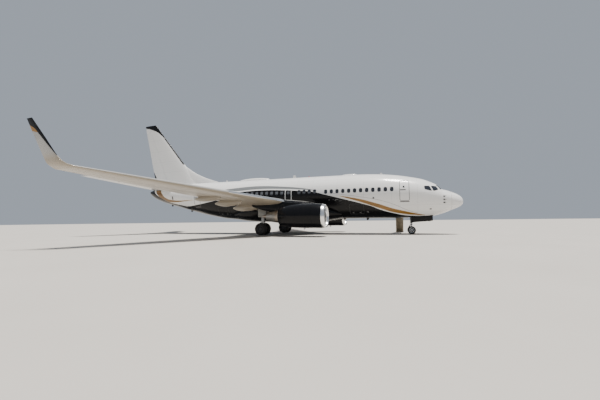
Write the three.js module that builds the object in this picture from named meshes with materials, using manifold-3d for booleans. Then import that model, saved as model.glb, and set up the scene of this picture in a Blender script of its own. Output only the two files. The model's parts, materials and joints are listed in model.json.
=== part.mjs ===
// Business jet, airliner size: a twin-engined low-wing aeroplane parked on its gear.
// Units are millimetres. +X points to the nose, +Y to port and +Z up. The origin is on
// the ground, below the middle of the whole length. "Station" means the distance aft of
// the nose tip, and every height is measured from the ground.

import * as THREE from 'three';
import { mergeVertices } from 'three/addons/utils/BufferGeometryUtils.js';
import Module from 'manifold-3d';

// Driving dimensions
const LENGTH = 33630;
const NOSE_X = LENGTH / 2;
const BODY_HALF_WIDTH = 1880;
const BODY_SIDES = 24;
const RADOME_STATION = 980;
const RADOME_JOINT = 12;

const SEAM = 0.4;
const PANEL_GAP = 2;
const DOOR_GAP = 8;
const DOOR_DEPTH = 120;
const EXIT_GAP = 12;
const EXIT_ROOM = 40;

const KINK_Y = 5700;
const WINGLET_Y = 17000;
const AILERON_Y = [12200, 16300];
const AILERON_HINGE = 0.74;
const FLAP_FRONT = 1250;

const FIN_TOP = 12570;
const RUDDER_Z = [5850, 12230];
const RUDDER_HINGE = 0.68;
const ELEVATOR_Y = [1150, 6950];
const ELEVATOR_HINGE = 0.7;
const SURFACE_CLEARANCE = 18;
const SURFACE_END_GAP = 26;
const RUDDER_END_GAP = 42;

const ENGINE_Y = 4830;
const ENGINE_Z = 1630;
const INLET_STATION = 10480;
const INLET_DROOP = 50;
const DROOP_LENGTH = 1000;
const LIP_STATION = INLET_STATION + 270;
const COWL_END_STATION = INLET_STATION + 3800;
const FAN_STATION = INLET_STATION + 1150;
const STRUT_STATION = INLET_STATION + 1800;
const FAN_RADIUS = 765;
const FAN_BLADES = 24;

const MAIN_GEAR = { station: 16780, y: 2860, wheelOffset: 430, radius: 555, width: 420, seat: 0.48 };
const NOSE_GEAR = { station: 4080, y: 0, wheelOffset: 200, radius: 343, width: 197, seat: 0.56 };
const TYRE_SEGMENTS = 18;
const COWL_SIDES = 20;

// Finishes
const finish = (color, roughness, metalness = 0) => (
  new THREE.MeshStandardMaterial({ color, roughness, metalness })
);
const white = finish(0xe9eaec, 0.3);
const black = finish(0x111214, 0.25);
const wingGrey = finish(0xb9b6ae, 0.45);
const bareMetal = finish(0xc9ccd0, 0.25, 1);
const hotMetal = finish(0x6a6258, 0.45, 1);
const fanMetal = finish(0x4b4e54, 0.35, 1);
const gearPaint = finish(0xcfd0ce, 0.4);
const rimPaint = finish(0xc4c6c8, 0.4, 0.5);
const rubber = finish(0x17181a, 0.85);
const darkGlass = finish(0x15181c, 0.1);
const stairFinish = finish(0x8a6a48, 0.6);

// Places
const at = (station) => NOSE_X - station;
const point = (station, y, z) => new THREE.Vector3(at(station), y, z);
const between = (a, b, share) => a + (b - a) * share;

// A closed skin over a row of rings that all have the same number of points. The quads of a ring's
// second half are split the other way, so that a hull's two sides are alike.
function loft(rings) {
  const count = rings[0].length;
  const positions = rings.flat(2);
  const indices = [];
  for (let row = 0; row < rings.length - 1; row += 1) {
    for (let i = 0; i < count; i += 1) {
      const a = row * count + i;
      const b = row * count + ((i + 1) % count);
      if (i < count / 2) indices.push(a, b, b + count, a, b + count, a + count);
      else indices.push(a, b, a + count, b, b + count, a + count);
    }
  }
  for (const row of [0, rings.length - 1]) {
    const centre = positions.length / 3;
    const sum = rings[row].reduce((total, p) => total.map((v, k) => v + p[k]), [0, 0, 0]);
    positions.push(...sum.map((v) => v / count));
    for (let i = 0; i < count; i += 1) {
      const edge = [row * count + i, row * count + ((i + 1) % count)];
      if (row === 0) edge.reverse();
      indices.push(centre, edge[0], edge[1]);
    }
  }
  const geometry = new THREE.BufferGeometry();
  geometry.setAttribute('position', new THREE.Float32BufferAttribute(positions, 3));
  geometry.setIndex(volumeOf(positions, indices) < 0 ? turned(indices) : indices);
  return geometry;
}

// Faces point out of a closed skin; a profile turned the other way round is put right.
function outward(geometry) {
  const bare = geometry.clone();
  bare.deleteAttribute('normal');
  bare.deleteAttribute('uv');
  const merged = mergeVertices(bare, 0.01);
  const indices = Array.from(merged.index.array);
  if (volumeOf(Array.from(merged.attributes.position.array), indices) < 0) merged.setIndex(turned(indices));
  merged.computeVertexNormals();
  return merged;
}

function volumeOf(positions, indices) {
  const corner = (i) => new THREE.Vector3().fromArray(positions, 3 * indices[i]);
  let volume = 0;
  for (let i = 0; i < indices.length; i += 3) {
    volume += corner(i).dot(corner(i + 1).cross(corner(i + 2))) / 6;
  }
  return volume;
}

function turned(indices) {
  const result = [...indices];
  for (let i = 0; i < result.length; i += 3) {
    result[i + 1] = indices[i + 2];
    result[i + 2] = indices[i + 1];
  }
  return result;
}

// Joining and cutting
const wasm = await Module();
wasm.setup();

function solid(geometry) {
  const merged = outward(geometry);
  return new wasm.Manifold(new wasm.Mesh({
    numProp: 3,
    vertProperties: new Float32Array(merged.attributes.position.array),
    triVerts: new Uint32Array(merged.index.array),
  }));
}

function geometryOf(body) {
  const mesh = body.getMesh();
  const geometry = new THREE.BufferGeometry();
  geometry.setAttribute('position', new THREE.BufferAttribute(mesh.vertProperties, 3));
  geometry.setIndex(new THREE.BufferAttribute(mesh.triVerts, 1));
  geometry.computeVertexNormals();
  return geometry;
}

const joined = (...bodies) => bodies.reduce((sum, body) => sum.add(body));
const cut = (body, ...tools) => tools.reduce((rest, tool) => rest.subtract(tool), body);

function mirrored(geometry) {
  const copy = geometry.clone().applyMatrix4(new THREE.Matrix4().makeScale(1, -1, 1));
  copy.setIndex(turned(Array.from(geometry.index.array)));
  copy.computeVertexNormals();
  return copy;
}

// Simple solids, placed in the aircraft's frame
function block(from, to) {
  const low = from.clone().min(to);
  const size = from.clone().max(to).sub(low);
  const middle = low.clone().addScaledVector(size, 0.5);
  return solid(new THREE.BoxGeometry(size.x, size.y, size.z).translate(middle.x, middle.y, middle.z));
}

function bar(from, to, radiusFrom, radiusTo = radiusFrom, sides = 12) {
  const run = to.clone().sub(from);
  const geometry = new THREE.CylinderGeometry(radiusTo, radiusFrom, run.length(), sides);
  const up = new THREE.Vector3(0, 1, 0);
  geometry.applyQuaternion(new THREE.Quaternion().setFromUnitVectors(up, run.clone().normalize()));
  const middle = from.clone().add(to).multiplyScalar(0.5);
  return solid(geometry.translate(middle.x, middle.y, middle.z));
}

// An outline in station and height, pushed sideways from y0 to y1.
function sideSlab(outline, y0, y1) {
  const shape = new THREE.Shape(outline.map(([station, z]) => new THREE.Vector2(at(station), z)));
  const geometry = new THREE.ExtrudeGeometry(shape, { depth: y1 - y0, bevelEnabled: false });
  return solid(geometry.rotateX(Math.PI / 2).translate(0, y1, 0));
}

// An outline in station and span, pushed up from z0 to z1.
function planSlab(outline, z0, z1) {
  const shape = new THREE.Shape(outline.map(([station, y]) => new THREE.Vector2(at(station), y)));
  const geometry = new THREE.ExtrudeGeometry(shape, { depth: z1 - z0, bevelEnabled: false });
  return solid(geometry.translate(0, 0, z0));
}

// A turned part: its profile is [radius, distance along the axis].
function turnedPart(profile, segments) {
  const points = profile.map(([radius, along]) => new THREE.Vector2(radius, along));
  return new THREE.LatheGeometry(points, segments);
}

// A lathe's own axis lies across the aircraft; this turns it to point aft.
const axisAft = (geometry) => geometry.rotateZ(Math.PI / 2);

// Hull: each ring is two half ellipses that meet at the widest height.
function hullRing([station, top, bottom, half, widest], grow = 0) {
  const ring = [];
  for (let i = 0; i < BODY_SIDES; i += 1) {
    const angle = (2 * Math.PI * i) / BODY_SIDES;
    const rise = Math.cos(angle) > 0 ? top - widest + grow : widest - bottom + grow;
    ring.push([at(station), (half + grow) * Math.sin(angle), widest + rise * Math.cos(angle)]);
  }
  return ring;
}

const hull = (rows, grow = 0) => solid(loft(rows.map((row) => hullRing(row, grow))));

const bodyRows = [
  // station, top, bottom, half width, widest height
  [0, 2790, 2640, 80, 2710],
  [100, 3035, 2430, 310, 2725],
  [350, 3265, 2255, 565, 2760],
  [800, 3500, 2065, 845, 2835],
  [1300, 3690, 1850, 1075, 2940],
  [1600, 3780, 1735, 1180, 3010],
  [1900, 4105, 1645, 1275, 3070],
  [2200, 4300, 1570, 1360, 3135],
  [2560, 4480, 1515, 1445, 3205],
  [3100, 4705, 1460, 1555, 3300],
  [4000, 4930, 1405, 1690, 3415],
  [5200, 5160, 1390, 1810, 3505],
  [6800, 5340, 1400, 1868, 3550],
  [8600, 5415, 1410, BODY_HALF_WIDTH, 3560],
  [14000, 5430, 1410, BODY_HALF_WIDTH, 3560],
  [19800, 5430, 1410, BODY_HALF_WIDTH, 3560],
  [21800, 5430, 1530, 1872, 3575],
  [23600, 5430, 1810, 1810, 3640],
  [25600, 5425, 2260, 1660, 3790],
  [27600, 5390, 2780, 1395, 4020],
  [29000, 5300, 3130, 1130, 4190],
  [30200, 5175, 3480, 860, 4340],
  [31200, 5020, 3850, 580, 4470],
  [31800, 4905, 4160, 370, 4570],
  [32180, 4800, 4460, 185, 4640],
];

const bodySolid = hull(bodyRows);
const bodyGrown = hull(bodyRows, SEAM);

// Blisters on the crown: aerial fairings faired into the skin
function crownBlister(front, rear, height, halfWidth) {
  const geometry = new THREE.SphereGeometry(1, 12, 8);
  geometry.scale((rear - front) / 2, halfWidth, height);
  return solid(geometry.translate(at((front + rear) / 2), 0, 5405));
}

const blisters = [crownBlister(8600, 10050, 110, 260), crownBlister(17300, 20700, 235, 430)];

// Doors: each is cut out of the wall with a rounded outline, and its pocket is a little larger.
function roundedOutline(station, width, low, high, corner, grow) {
  const half = width / 2 + grow;
  const radius = corner + grow;
  const outline = [];
  for (const [side, level, start] of [[1, high, 0], [-1, high, 90], [-1, low, 180], [1, low, 270]]) {
    for (let step = 0; step <= 2; step += 1) {
      const angle = THREE.MathUtils.degToRad(start + 45 * step);
      const centreX = side * (half - radius);
      const centreZ = level + (level === high ? grow - radius : radius - grow);
      outline.push([station - centreX - radius * Math.cos(angle), centreZ + radius * Math.sin(angle)]);
    }
  }
  return outline;
}

const doorRows = [
  // name, station of the middle, width, sill, top, corner radius, side (1 port, -1 starboard)
  ['entry_door', 4930, 860, 2640, 4470, 130, 1],
  ['service_door', 4610, 760, 2800, 4500, 120, -1],
  ['aft_entry_door', 24700, 760, 2720, 4500, 120, 1],
  ['aft_service_door', 24700, 760, 2800, 4450, 120, -1],
  ['overwing_exit_left', 14710, 510, 3130, 4080, 110, 1],
  ['overwing_exit_right', 14710, 510, 3130, 4080, 110, -1],
  ['cargo_door_forward', 8550, 1220, 1790, 2640, 90, -1],
  ['cargo_door_aft', 21700, 1220, 1880, 2680, 90, -1],
];

const innerBody = (depth) => hull(bodyRows, -depth);
const doorInner = innerBody(DOOR_DEPTH);
const pocketInner = innerBody(DOOR_DEPTH + DOOR_GAP);
const exitInner = innerBody(DOOR_DEPTH + EXIT_ROOM);

function doorPrism([, station, width, low, high, corner, side], grow) {
  const reach = [300 * side, (BODY_HALF_WIDTH + 200) * side].sort((a, b) => a - b);
  return sideSlab(roundedOutline(station, width, low, high, corner, grow), ...reach);
}

const doorLeaf = (row) => cut(bodySolid.intersect(doorPrism(row, 0)), doorInner);
const isExit = ([name]) => name.startsWith('overwing_exit');
const doorPocket = (row) => (
  isExit(row) ? cut(doorPrism(row, EXIT_GAP), exitInner) : cut(doorPrism(row, DOOR_GAP), pocketInner)
);

// Cockpit windows: one wrap-round frame let into the skin.
const windscreenOutline = [
  [1560, 3750], [1860, 3560], [3060, 3590], [3000, 3990],
  [2560, 4100], [2290, 4370], [2160, 4660], [1560, 4660],
];
const WINDSCREEN_DEPTH = 40;
const windscreenPrism = (grow) => sideSlab(spread(windscreenOutline, grow), -1900, 1900);
const windscreenFrame = cut(hull(bodyRows, 6).intersect(windscreenPrism(0)), innerBody(WINDSCREEN_DEPTH));
const windscreenPocket = cut(windscreenPrism(3), innerBody(WINDSCREEN_DEPTH + SEAM));

// Moves each corner of an outline away from its middle.
function spread(outline, distance) {
  const middle = [0, 1].map((k) => outline.reduce((sum, corner) => sum + corner[k], 0) / outline.length);
  return outline.map((corner) => {
    const away = [0, 1].map((k) => corner[k] - middle[k]);
    const length = Math.hypot(...away);
    return corner.map((value, k) => value + (away[k] * distance) / length);
  });
}

// Bays that the gear folds into
const noseBay = block(point(2350, -360, 1300), point(4300, 360, 1900));
const wheelWell = (side) => (
  bar(point(MAIN_GEAR.station, 780 * side, 900), point(MAIN_GEAR.station, 780 * side, 1750), 600, 600, 24)
);

// Wing-to-body fairing
const fairingRows = [
  // station, top, bottom, half width, widest height
  [9900, 2250, 1430, 1150, 1800],
  [10700, 2560, 1300, 1700, 1900],
  [11600, 2900, 1210, 1960, 2050],
  [13200, 3080, 1170, 2060, 2150],
  [18200, 3020, 1170, 2060, 2150],
  [19400, 2760, 1250, 1930, 2050],
  [20500, 2430, 1390, 1450, 1900],
];
const fairingSolid = hull(fairingRows);
const fairingGrown = hull(fairingRows, SEAM);
const bellyFairing = cut(fairingSolid, bodyGrown, wheelWell(1), wheelWell(-1));

const tailpipe = bar(point(31950, 0, 4630), point(32400, 0, 4630), 120, 120, 16);
const aheadOf = (station) => block(point(-500, -3000, 1000), point(station, 3000, 6000));
const noseCut = aheadOf(RADOME_STATION + RADOME_JOINT);
// Blade aerials and drain masts: slim plates let into the skin
const blades = [
  // station of the foot, height of the foot, rise, chord at the foot, sweep
  [14480, 5380, 330, 380, 150],
  [6300, 5250, 200, 260, 110],
  [22100, 5390, 210, 260, 110],
  [7600, 1440, -200, 260, 110],
  [9700, 1450, -170, 220, 90],
  [26430, 2560, -170, 200, 110],
  [29020, 3240, -190, 200, 120],
].map(([station, foot, rise, chord, sweep]) => solid(loft([[foot, 0, 1], [foot + rise, sweep, 0.55]].map(
  ([z, aft, share]) => [[0, 0], [0.35, 16], [1, 4], [1, -4], [0.35, -16]].map(([along, half]) => (
    [at(station + aft + along * chord * share), half * share, z]
  )),
))));

const fuselage = cut(
  joined(bodySolid, ...blisters, ...blades),
  noseCut,
  windscreenPocket,
  noseBay,
  wheelWell(1),
  wheelWell(-1),
  tailpipe,
  ...doorRows.map(doorPocket),
);
const radome = bodySolid.intersect(aheadOf(RADOME_STATION));

// Aerofoils: a smooth symmetric thickness on a shallow arched line, from nose to tail and back.
const AEROFOIL_STEPS = 7;

function thicknessAt(share, ratio) {
  const root = 0.2969 * Math.sqrt(share);
  const tail = 0.126 * share + 0.3516 * share ** 2 - 0.2843 * share ** 3 + 0.1015 * share ** 4;
  return 5 * ratio * (root - tail) + 0.0015;
}

// A section has lead (station of its leading edge), y, z, chord, ratio (thickness over chord),
// camber, drop (how far the trailing edge sinks, per chord) and cant (lean of its thickness, degrees).
function sectionPoint(section, share, side, grow = 0) {
  const { lead, y, z, chord, ratio, camber = 0, drop = 0, cant = 0 } = section;
  const arch = 4 * camber * share * (1 - share) * chord;
  const rise = arch + side * (thicknessAt(share, ratio) * chord + grow);
  const lean = THREE.MathUtils.degToRad(cant);
  const along = share * chord + (2 * share - 1) * grow;
  return [at(lead + along), y - rise * Math.sin(lean), z + rise * Math.cos(lean) - drop * along];
}

function sectionRing(section, grow) {
  const ring = [];
  for (let i = 0; i <= AEROFOIL_STEPS; i += 1) {
    ring.push(sectionPoint(section, (1 + Math.cos((Math.PI * i) / AEROFOIL_STEPS)) / 2, 1, grow));
  }
  for (let i = AEROFOIL_STEPS; i >= 0; i -= 1) {
    ring.push(sectionPoint(section, (1 + Math.cos((Math.PI * i) / AEROFOIL_STEPS)) / 2, -1, grow));
  }
  return ring;
}

const surface = (sections, grow = 0) => solid(loft(sections.map((section) => sectionRing(section, grow))));

function sectionBetween(a, b, share) {
  const middle = {};
  for (const key of Object.keys(a)) middle[key] = between(a[key], b[key], share);
  return middle;
}

// Wing sections, port side
const wingLead = (y) => 11500 + 0.5228 * y;
const wingHeight = (y) => 2360 + 0.1012 * y;
const wingSections = [
  // station of the leading edge, y, z, chord, thickness ratio, camber, drop
  [11350, 1300, 2480, 7500, 0.125, 0.004, 0.02],
  [12150, 2500, 2605, 6630, 0.125, 0.006, 0.022],
  [wingLead(4100), 4100, wingHeight(4100), 4990, 0.125, 0.01, 0.027],
  [wingLead(KINK_Y), KINK_Y, wingHeight(KINK_Y), 4120, 0.125, 0.012, 0.03],
  [wingLead(WINGLET_Y), WINGLET_Y, wingHeight(WINGLET_Y), 1430, 0.108, 0.01, 0.045],
].map(([lead, y, z, chord, ratio, camber, drop]) => ({ lead, y, z, chord, ratio, camber, drop, cant: 0 }));
const [wingKink, wingTip] = wingSections.slice(-2);
const outerWing = (y) => sectionBetween(wingKink, wingTip, (y - KINK_Y) / (WINGLET_Y - KINK_Y));

// Winglet sections: the wing turns up through a blend to a nearly upright blade.
const wingletRows = [
  // station of the leading edge, y, z, chord, cant
  [20550, 17200, 4140, 1280, 24],
  [20740, 17370, 4300, 1120, 50],
  [20980, 17460, 4580, 960, 70],
  [21550, 17670, 5480, 690, 76],
  [22190, 17880, 6440, 380, 78],
];
const wingletSections = [
  { ...wingTip, y: WINGLET_Y + SEAM },
  ...wingletRows.map(([lead, y, z, chord, cant]) => (
    { lead, y, z, chord, ratio: 0.1, camber: 0, drop: 0.01, cant }
  )),
];

// A surface that swings about a line through its sections: the part behind the hinge with a round nose,
// and the bay that it swings in.
function hingedSurface(skin, inner, outer, hinge, zone) {
  const axis = [inner, outer].map((section) => {
    const top = new THREE.Vector3(...sectionPoint(section, hinge, 1));
    const low = new THREE.Vector3(...sectionPoint(section, hinge, -1));
    return { middle: top.clone().add(low).multiplyScalar(0.5), radius: top.distanceTo(low) / 2 };
  });
  const run = axis[1].middle.clone().sub(axis[0].middle).normalize();
  const nose = (extra, reach) => bar(
    axis[0].middle.clone().addScaledVector(run, -reach),
    axis[1].middle.clone().addScaledVector(run, reach),
    axis[0].radius + extra,
    axis[1].radius + extra,
    20,
  );
  const trim = zone(0);
  const leaf = joined(skin.intersect(zone(0, true)), nose(-1, 200).intersect(trim));
  const noseBay = nose(SURFACE_CLEARANCE, 200).intersect(zone(SURFACE_END_GAP));
  const bay = joined(zone(SURFACE_END_GAP, true), noseBay);
  return { leaf, bay, pivot: axis[0].middle, direction: run };
}

// Aileron
const aileronInner = outerWing(AILERON_Y[0]);
const aileronOuter = outerWing(AILERON_Y[1]);
const aileronEdge = (section) => section.lead + AILERON_HINGE * section.chord;

function aileronZone(grow, behindHinge = false) {
  const front = behindHinge ? 0 : -600;
  return planSlab([
    [aileronEdge(aileronInner) + front, AILERON_Y[0] - grow],
    [aileronEdge(aileronOuter) + front, AILERON_Y[1] + grow],
    [aileronEdge(aileronOuter) + 1500, AILERON_Y[1] + grow],
    [aileronEdge(aileronInner) + 1500, AILERON_Y[0] - grow],
  ], 2500, 5500);
}

const wingSkin = cut(surface(wingSections), bodyGrown, fairingGrown);
const aileron = hingedSurface(wingSkin, aileronInner, aileronOuter, AILERON_HINGE, aileronZone);

// Flaps: two panels each side that lie flush with the wing.
const trailingEdge = (y) => {
  const section = y < KINK_Y
    ? sectionBetween(wingSections[1], wingKink, (y - wingSections[1].y) / (KINK_Y - wingSections[1].y))
    : outerWing(y);
  return section.lead + section.chord;
};

function flapZone([inner, outer], front, grow) {
  return planSlab([
    [trailingEdge(inner) - front[0] - grow, inner - grow],
    [trailingEdge(outer) - front[1] - grow, outer + grow],
    [trailingEdge(outer) + 400, outer + grow],
    [trailingEdge(inner) + 400, inner - grow],
  ], 1800, 4500);
}

const flapRows = [
  // name, [inner, outer] span, [inner, outer] depth of the flap
  ['flap_inboard', [2250, 5500], [FLAP_FRONT + 150, FLAP_FRONT]],
  ['flap_outboard', [5700, 11900], [FLAP_FRONT, 640]],
];

// Flap-track fairings: canoes under the trailing edge
const canoeRows = [
  // y, station of the middle, height of the middle, half length, half height, half width
  [4600, 17600, 2440, 1250, 320, 200],
  [6900, 17950, 2730, 1200, 290, 185],
  [8700, 18600, 2980, 1130, 240, 160],
];

function canoe([y, station, z, halfLength, halfHeight, halfWidth], grow = 0) {
  const geometry = new THREE.SphereGeometry(1, 10, 8);
  geometry.rotateZ(Math.PI / 2).scale(halfLength + grow, halfWidth + grow, halfHeight + grow);
  return solid(geometry.rotateY(-0.04).translate(at(station), y, z));
}

const canoes = canoeRows.map((row) => canoe(row));
const canoesGrown = canoeRows.map((row) => canoe(row, 4 * SEAM));

// Jacking pads: flat round bosses under the wing and the nose
const JACK_PADS = { wing: { station: 15700, y: 3900, z: 2300 }, nose: { station: 2080, y: 0, z: 1560 } };
const wingPad = bar(
  point(JACK_PADS.wing.station, JACK_PADS.wing.y, JACK_PADS.wing.z),
  point(JACK_PADS.wing.station, JACK_PADS.wing.y, 2700),
  60,
);
const nosePad = bar(
  point(JACK_PADS.nose.station, 0, JACK_PADS.nose.z),
  point(JACK_PADS.nose.station, 0, 1700),
  60,
);

const wing = joined(
  cut(wingSkin, aileron.bay, ...flapRows.map(([, span, front]) => flapZone(span, front, PANEL_GAP))),
  ...canoes,
  wingPad,
);
const wingGrown = joined(surface(wingSections, 2 * SEAM), ...canoesGrown);

// Tailplane sections, port side
const tailRoot = { lead: 27760, y: 350, z: 4880, chord: 3720, ratio: 0.1, camber: 0, drop: 0, cant: 0 };
const tailTip = { lead: 32560, y: 7175, z: 5725, chord: 1070, ratio: 0.09, camber: 0, drop: 0, cant: 0 };
const tailAt = (y) => sectionBetween(tailRoot, tailTip, (y - tailRoot.y) / (tailTip.y - tailRoot.y));
const elevatorEdge = (y) => tailAt(y).lead + ELEVATOR_HINGE * tailAt(y).chord;

function elevatorZone(grow, behindHinge = false) {
  const front = behindHinge ? 0 : -500;
  return planSlab([
    [elevatorEdge(ELEVATOR_Y[0]) + front, ELEVATOR_Y[0] - grow],
    [elevatorEdge(ELEVATOR_Y[1]) + front, ELEVATOR_Y[1] + grow],
    [elevatorEdge(ELEVATOR_Y[1]) + 2000, ELEVATOR_Y[1] + grow],
    [elevatorEdge(ELEVATOR_Y[0]) + 2000, ELEVATOR_Y[0] - grow],
  ], 4000, 7000);
}

const tailSkin = cut(surface([tailRoot, tailTip]), bodyGrown);
const elevatorEnds = ELEVATOR_Y.map(tailAt);
const elevator = hingedSurface(tailSkin, ...elevatorEnds, ELEVATOR_HINGE, elevatorZone);
const stabiliser = cut(tailSkin, elevator.bay);

// Fin sections: an upright surface, so its span runs in height.
const finFoot = { lead: 25450, z: 5000, chord: 5950, ratio: 0.09 };
const finTip = { lead: 31740, z: FIN_TOP, chord: 1540, ratio: 0.09 };
const finAt = (z) => sectionBetween(finFoot, finTip, (z - finFoot.z) / (finTip.z - finFoot.z));

function finRing(section, grow = 0) {
  const flat = { ...section, y: 0, z: 0 };
  return sectionRing(flat, grow).map(([x, , offset]) => [x, offset, section.z]);
}

const finSkin = solid(loft([finRing(finFoot), finRing(finTip)]));

// Dorsal fin: a sharp ridge that grows out of the crown and runs up into the fin
const dorsalRows = [
  // station, height of the ridge, half width at the foot
  [23100, 5420, 40],
  [23900, 5670, 90],
  [24870, 6000, 140],
  [25600, 6310, 170],
  [26110, 6560, 190],
  [27100, 7180, 230],
  [28200, 7950, 240],
];
const dorsalFin = solid(loft(dorsalRows.map(([station, ridge, half]) => (
  [[at(station), half, 5100], [at(station), 22, ridge], [at(station), -22, ridge], [at(station), -half, 5100]]
))));

const rudderEdge = (z) => finAt(z).lead + RUDDER_HINGE * finAt(z).chord;

function rudderZone(grow, behindHinge = false) {
  const front = behindHinge ? 0 : -600;
  return sideSlab([
    [rudderEdge(RUDDER_Z[0]) + front, RUDDER_Z[0] - grow],
    [rudderEdge(RUDDER_Z[1]) + front, RUDDER_Z[1] + grow],
    [rudderEdge(RUDDER_Z[1]) + 3000, RUDDER_Z[1] + grow],
    [rudderEdge(RUDDER_Z[0]) + 3000, RUDDER_Z[0] - grow],
  ], -900, 900);
}

const rudderAxis = RUDDER_Z.map((z) => ({
  middle: point(rudderEdge(z), 0, z),
  radius: thicknessAt(RUDDER_HINGE, finAt(z).ratio) * finAt(z).chord,
}));
const rudderRun = rudderAxis[1].middle.clone().sub(rudderAxis[0].middle).normalize();
const rudderNose = (extra) => bar(
  rudderAxis[0].middle.clone().addScaledVector(rudderRun, -300),
  rudderAxis[1].middle.clone().addScaledVector(rudderRun, 300),
  rudderAxis[0].radius + extra,
  rudderAxis[1].radius + extra,
  20,
);
const rudder = joined(finSkin.intersect(rudderZone(0, true)), rudderNose(-1).intersect(rudderZone(0)));
const rudderBay = joined(
  rudderZone(RUDDER_END_GAP, true),
  rudderNose(SURFACE_CLEARANCE).intersect(rudderZone(RUDDER_END_GAP)),
);
const fin = cut(joined(finSkin, dorsalFin), bodyGrown, rudderBay, joined(...blisters));

// Engine: cowl, lip, fan, core and pylon, built about the engine's own centre line.
function cowlRing([station, radius], flatten, grow = 0) {
  const ring = [];
  const droop = INLET_DROOP * Math.max(0, 1 - (station - INLET_STATION) / DROOP_LENGTH);
  const middle = ENGINE_Z - droop;
  for (let i = 0; i < COWL_SIDES; i += 1) {
    const angle = (2 * Math.PI * i) / COWL_SIDES;
    const low = Math.cos(angle) < 0 ? flatten : 1;
    const reach = radius + grow;
    ring.push([at(station), ENGINE_Y + reach * Math.sin(angle), middle + reach * low * Math.cos(angle)]);
  }
  return ring;
}

const cowlRows = [
  // station, radius
  [INLET_STATION, 845],
  [INLET_STATION + 25, 885],
  [INLET_STATION + 90, 920],
  [LIP_STATION, 962],
  [INLET_STATION + 850, 990],
  [INLET_STATION + 1550, 998],
  [INLET_STATION + 2250, 982],
  [INLET_STATION + 2950, 930],
  [COWL_END_STATION, 800],
];
const ductRows = [
  // station, radius
  [INLET_STATION - 5, 838],
  [INLET_STATION + 25, 800],
  [INLET_STATION + 110, 765],
  [LIP_STATION, 745],
  [INLET_STATION + 650, 758],
  [INLET_STATION + 1050, 785],
  [INLET_STATION + 1950, 790],
  [INLET_STATION + 2950, 770],
  [COWL_END_STATION + 5, 762],
];
const cowlSolid = solid(loft(cowlRows.map((row) => cowlRing(row, 0.965))));
const cowlGrown = solid(loft(cowlRows.map((row) => cowlRing(row, 0.965, SEAM))));
const duct = solid(loft(ductRows.map((row) => cowlRing(row, 1))));
const cowl = cut(cowlSolid, duct);
const engineBox = (front, rear) => (
  block(point(front, ENGINE_Y - 1500, 0), point(rear, ENGINE_Y + 1500, 3500))
);
const inletLip = cowl.intersect(engineBox(INLET_STATION - 100, LIP_STATION - SEAM));
const nacelle = cowl.intersect(engineBox(LIP_STATION, COWL_END_STATION + 100));

// Engine core: a plain block of the engine's size, with its nozzle and exhaust cone
const coreProfile = [
  // radius, distance behind the inlet
  [0, 1410], [400, 1410], [545, 2550], [550, 3800], [385, 4980],
  [355, 4980], [345, 4770], [235, 4770], [40, 5470], [0, 5480],
];
const aboutEngine = (profile, segments) => {
  const geometry = axisAft(turnedPart(profile, segments));
  return geometry.translate(at(INLET_STATION), ENGINE_Y, ENGINE_Z);
};
const struts = [0, 60, 120, 180, 240, 300].map((degrees) => {
  const angle = THREE.MathUtils.degToRad(degrees);
  const place = (radius) => (
    point(STRUT_STATION, ENGINE_Y + radius * Math.sin(angle), ENGINE_Z + radius * Math.cos(angle))
  );
  return bar(place(300), place(900), 30, 30, 6);
});
const engineCore = joined(
  solid(aboutEngine(coreProfile, 20)),
  ...struts.map((strut) => strut.intersect(solid(loft(ductRows.map((row) => cowlRing(row, 1, -SEAM)))))),
);
const coreOutside = coreProfile.slice(0, 5).map(([radius, station]) => [radius + (radius ? SEAM : 0), station]);
const coreGrown = solid(aboutEngine([...coreOutside, [0, 4980]], 20));

// Fan: a spinner and hub with twisted blades, built about its own middle with its axis along X
const spinnerProfile = [
  // radius, distance forward
  [0, 470], [60, 445], [170, 270], [265, 20], [265, -110], [0, -110],
];

function fanBlade(angle) {
  const rings = [
    // radius, half chord, half thickness, twist in degrees from the axis
    [200, 95, 10, 25],
    [FAN_RADIUS, 105, 5, 60],
  ].map(([radius, half, thick, twist]) => {
    const lean = THREE.MathUtils.degToRad(twist);
    const along = [Math.cos(lean), Math.sin(lean)];
    const corners = [[half, thick], [half, -thick], [-half, -thick], [-half, thick]];
    return corners.map(([a, b]) => [a * along[0] - b * along[1], a * along[1] + b * along[0], radius]);
  });
  return solid(loft(rings).rotateX(angle));
}

const fanBody = joined(
  solid(turnedPart(spinnerProfile, 12).rotateZ(-Math.PI / 2)),
  ...Array.from({ length: FAN_BLADES }, (_, i) => fanBlade((2 * Math.PI * i) / FAN_BLADES)),
);

// Pylon: a blade-shaped box from the top of the cowl to the wing
const pylonOutline = [
  // station, height
  [11430, 2440], [11830, 2600], [12700, 2690], [13500, 2760], [14050, 2830], [14700, 2880], [16300, 2880],
  [16900, 2650], [16700, 2390], [16000, 2190], [15500, 2080], [14330, 1940], [14030, 2240], [11430, 2240],
];
const pylonPlan = { lead: 11430, y: 0, z: 0, chord: 5570, ratio: 0.068 };
const pylonPlanform = solid(loft([1800, 3200].map((z) => (
  sectionRing(pylonPlan).map(([x, , offset]) => [x, ENGINE_Y + offset, z])
))));
const pylon = cut(
  sideSlab(pylonOutline, ENGINE_Y - 300, ENGINE_Y + 300).intersect(pylonPlanform),
  wingGrown,
  cowlGrown,
  coreGrown,
);

// Wheels: built about their own middle with the axle along Y, one flat of the outline downwards
const facetDown = (profile) => turnedPart(profile, TYRE_SEGMENTS).rotateY(Math.PI / TYRE_SEGMENTS);

function rimGeometry({ radius, width, seat: seatShare }, bore) {
  const seat = seatShare * radius;
  const half = 0.36 * width;
  return outward(facetDown([
    [bore, -half], [bore, half], [bore + 45, half], [0.84 * seat, 0.14 * width], [0.9 * seat, half],
    [seat, half], [seat, -half], [0.9 * seat, -half], [0.84 * seat, -0.14 * width], [bore + 45, -half],
    [bore, -half],
  ]));
}

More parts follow.
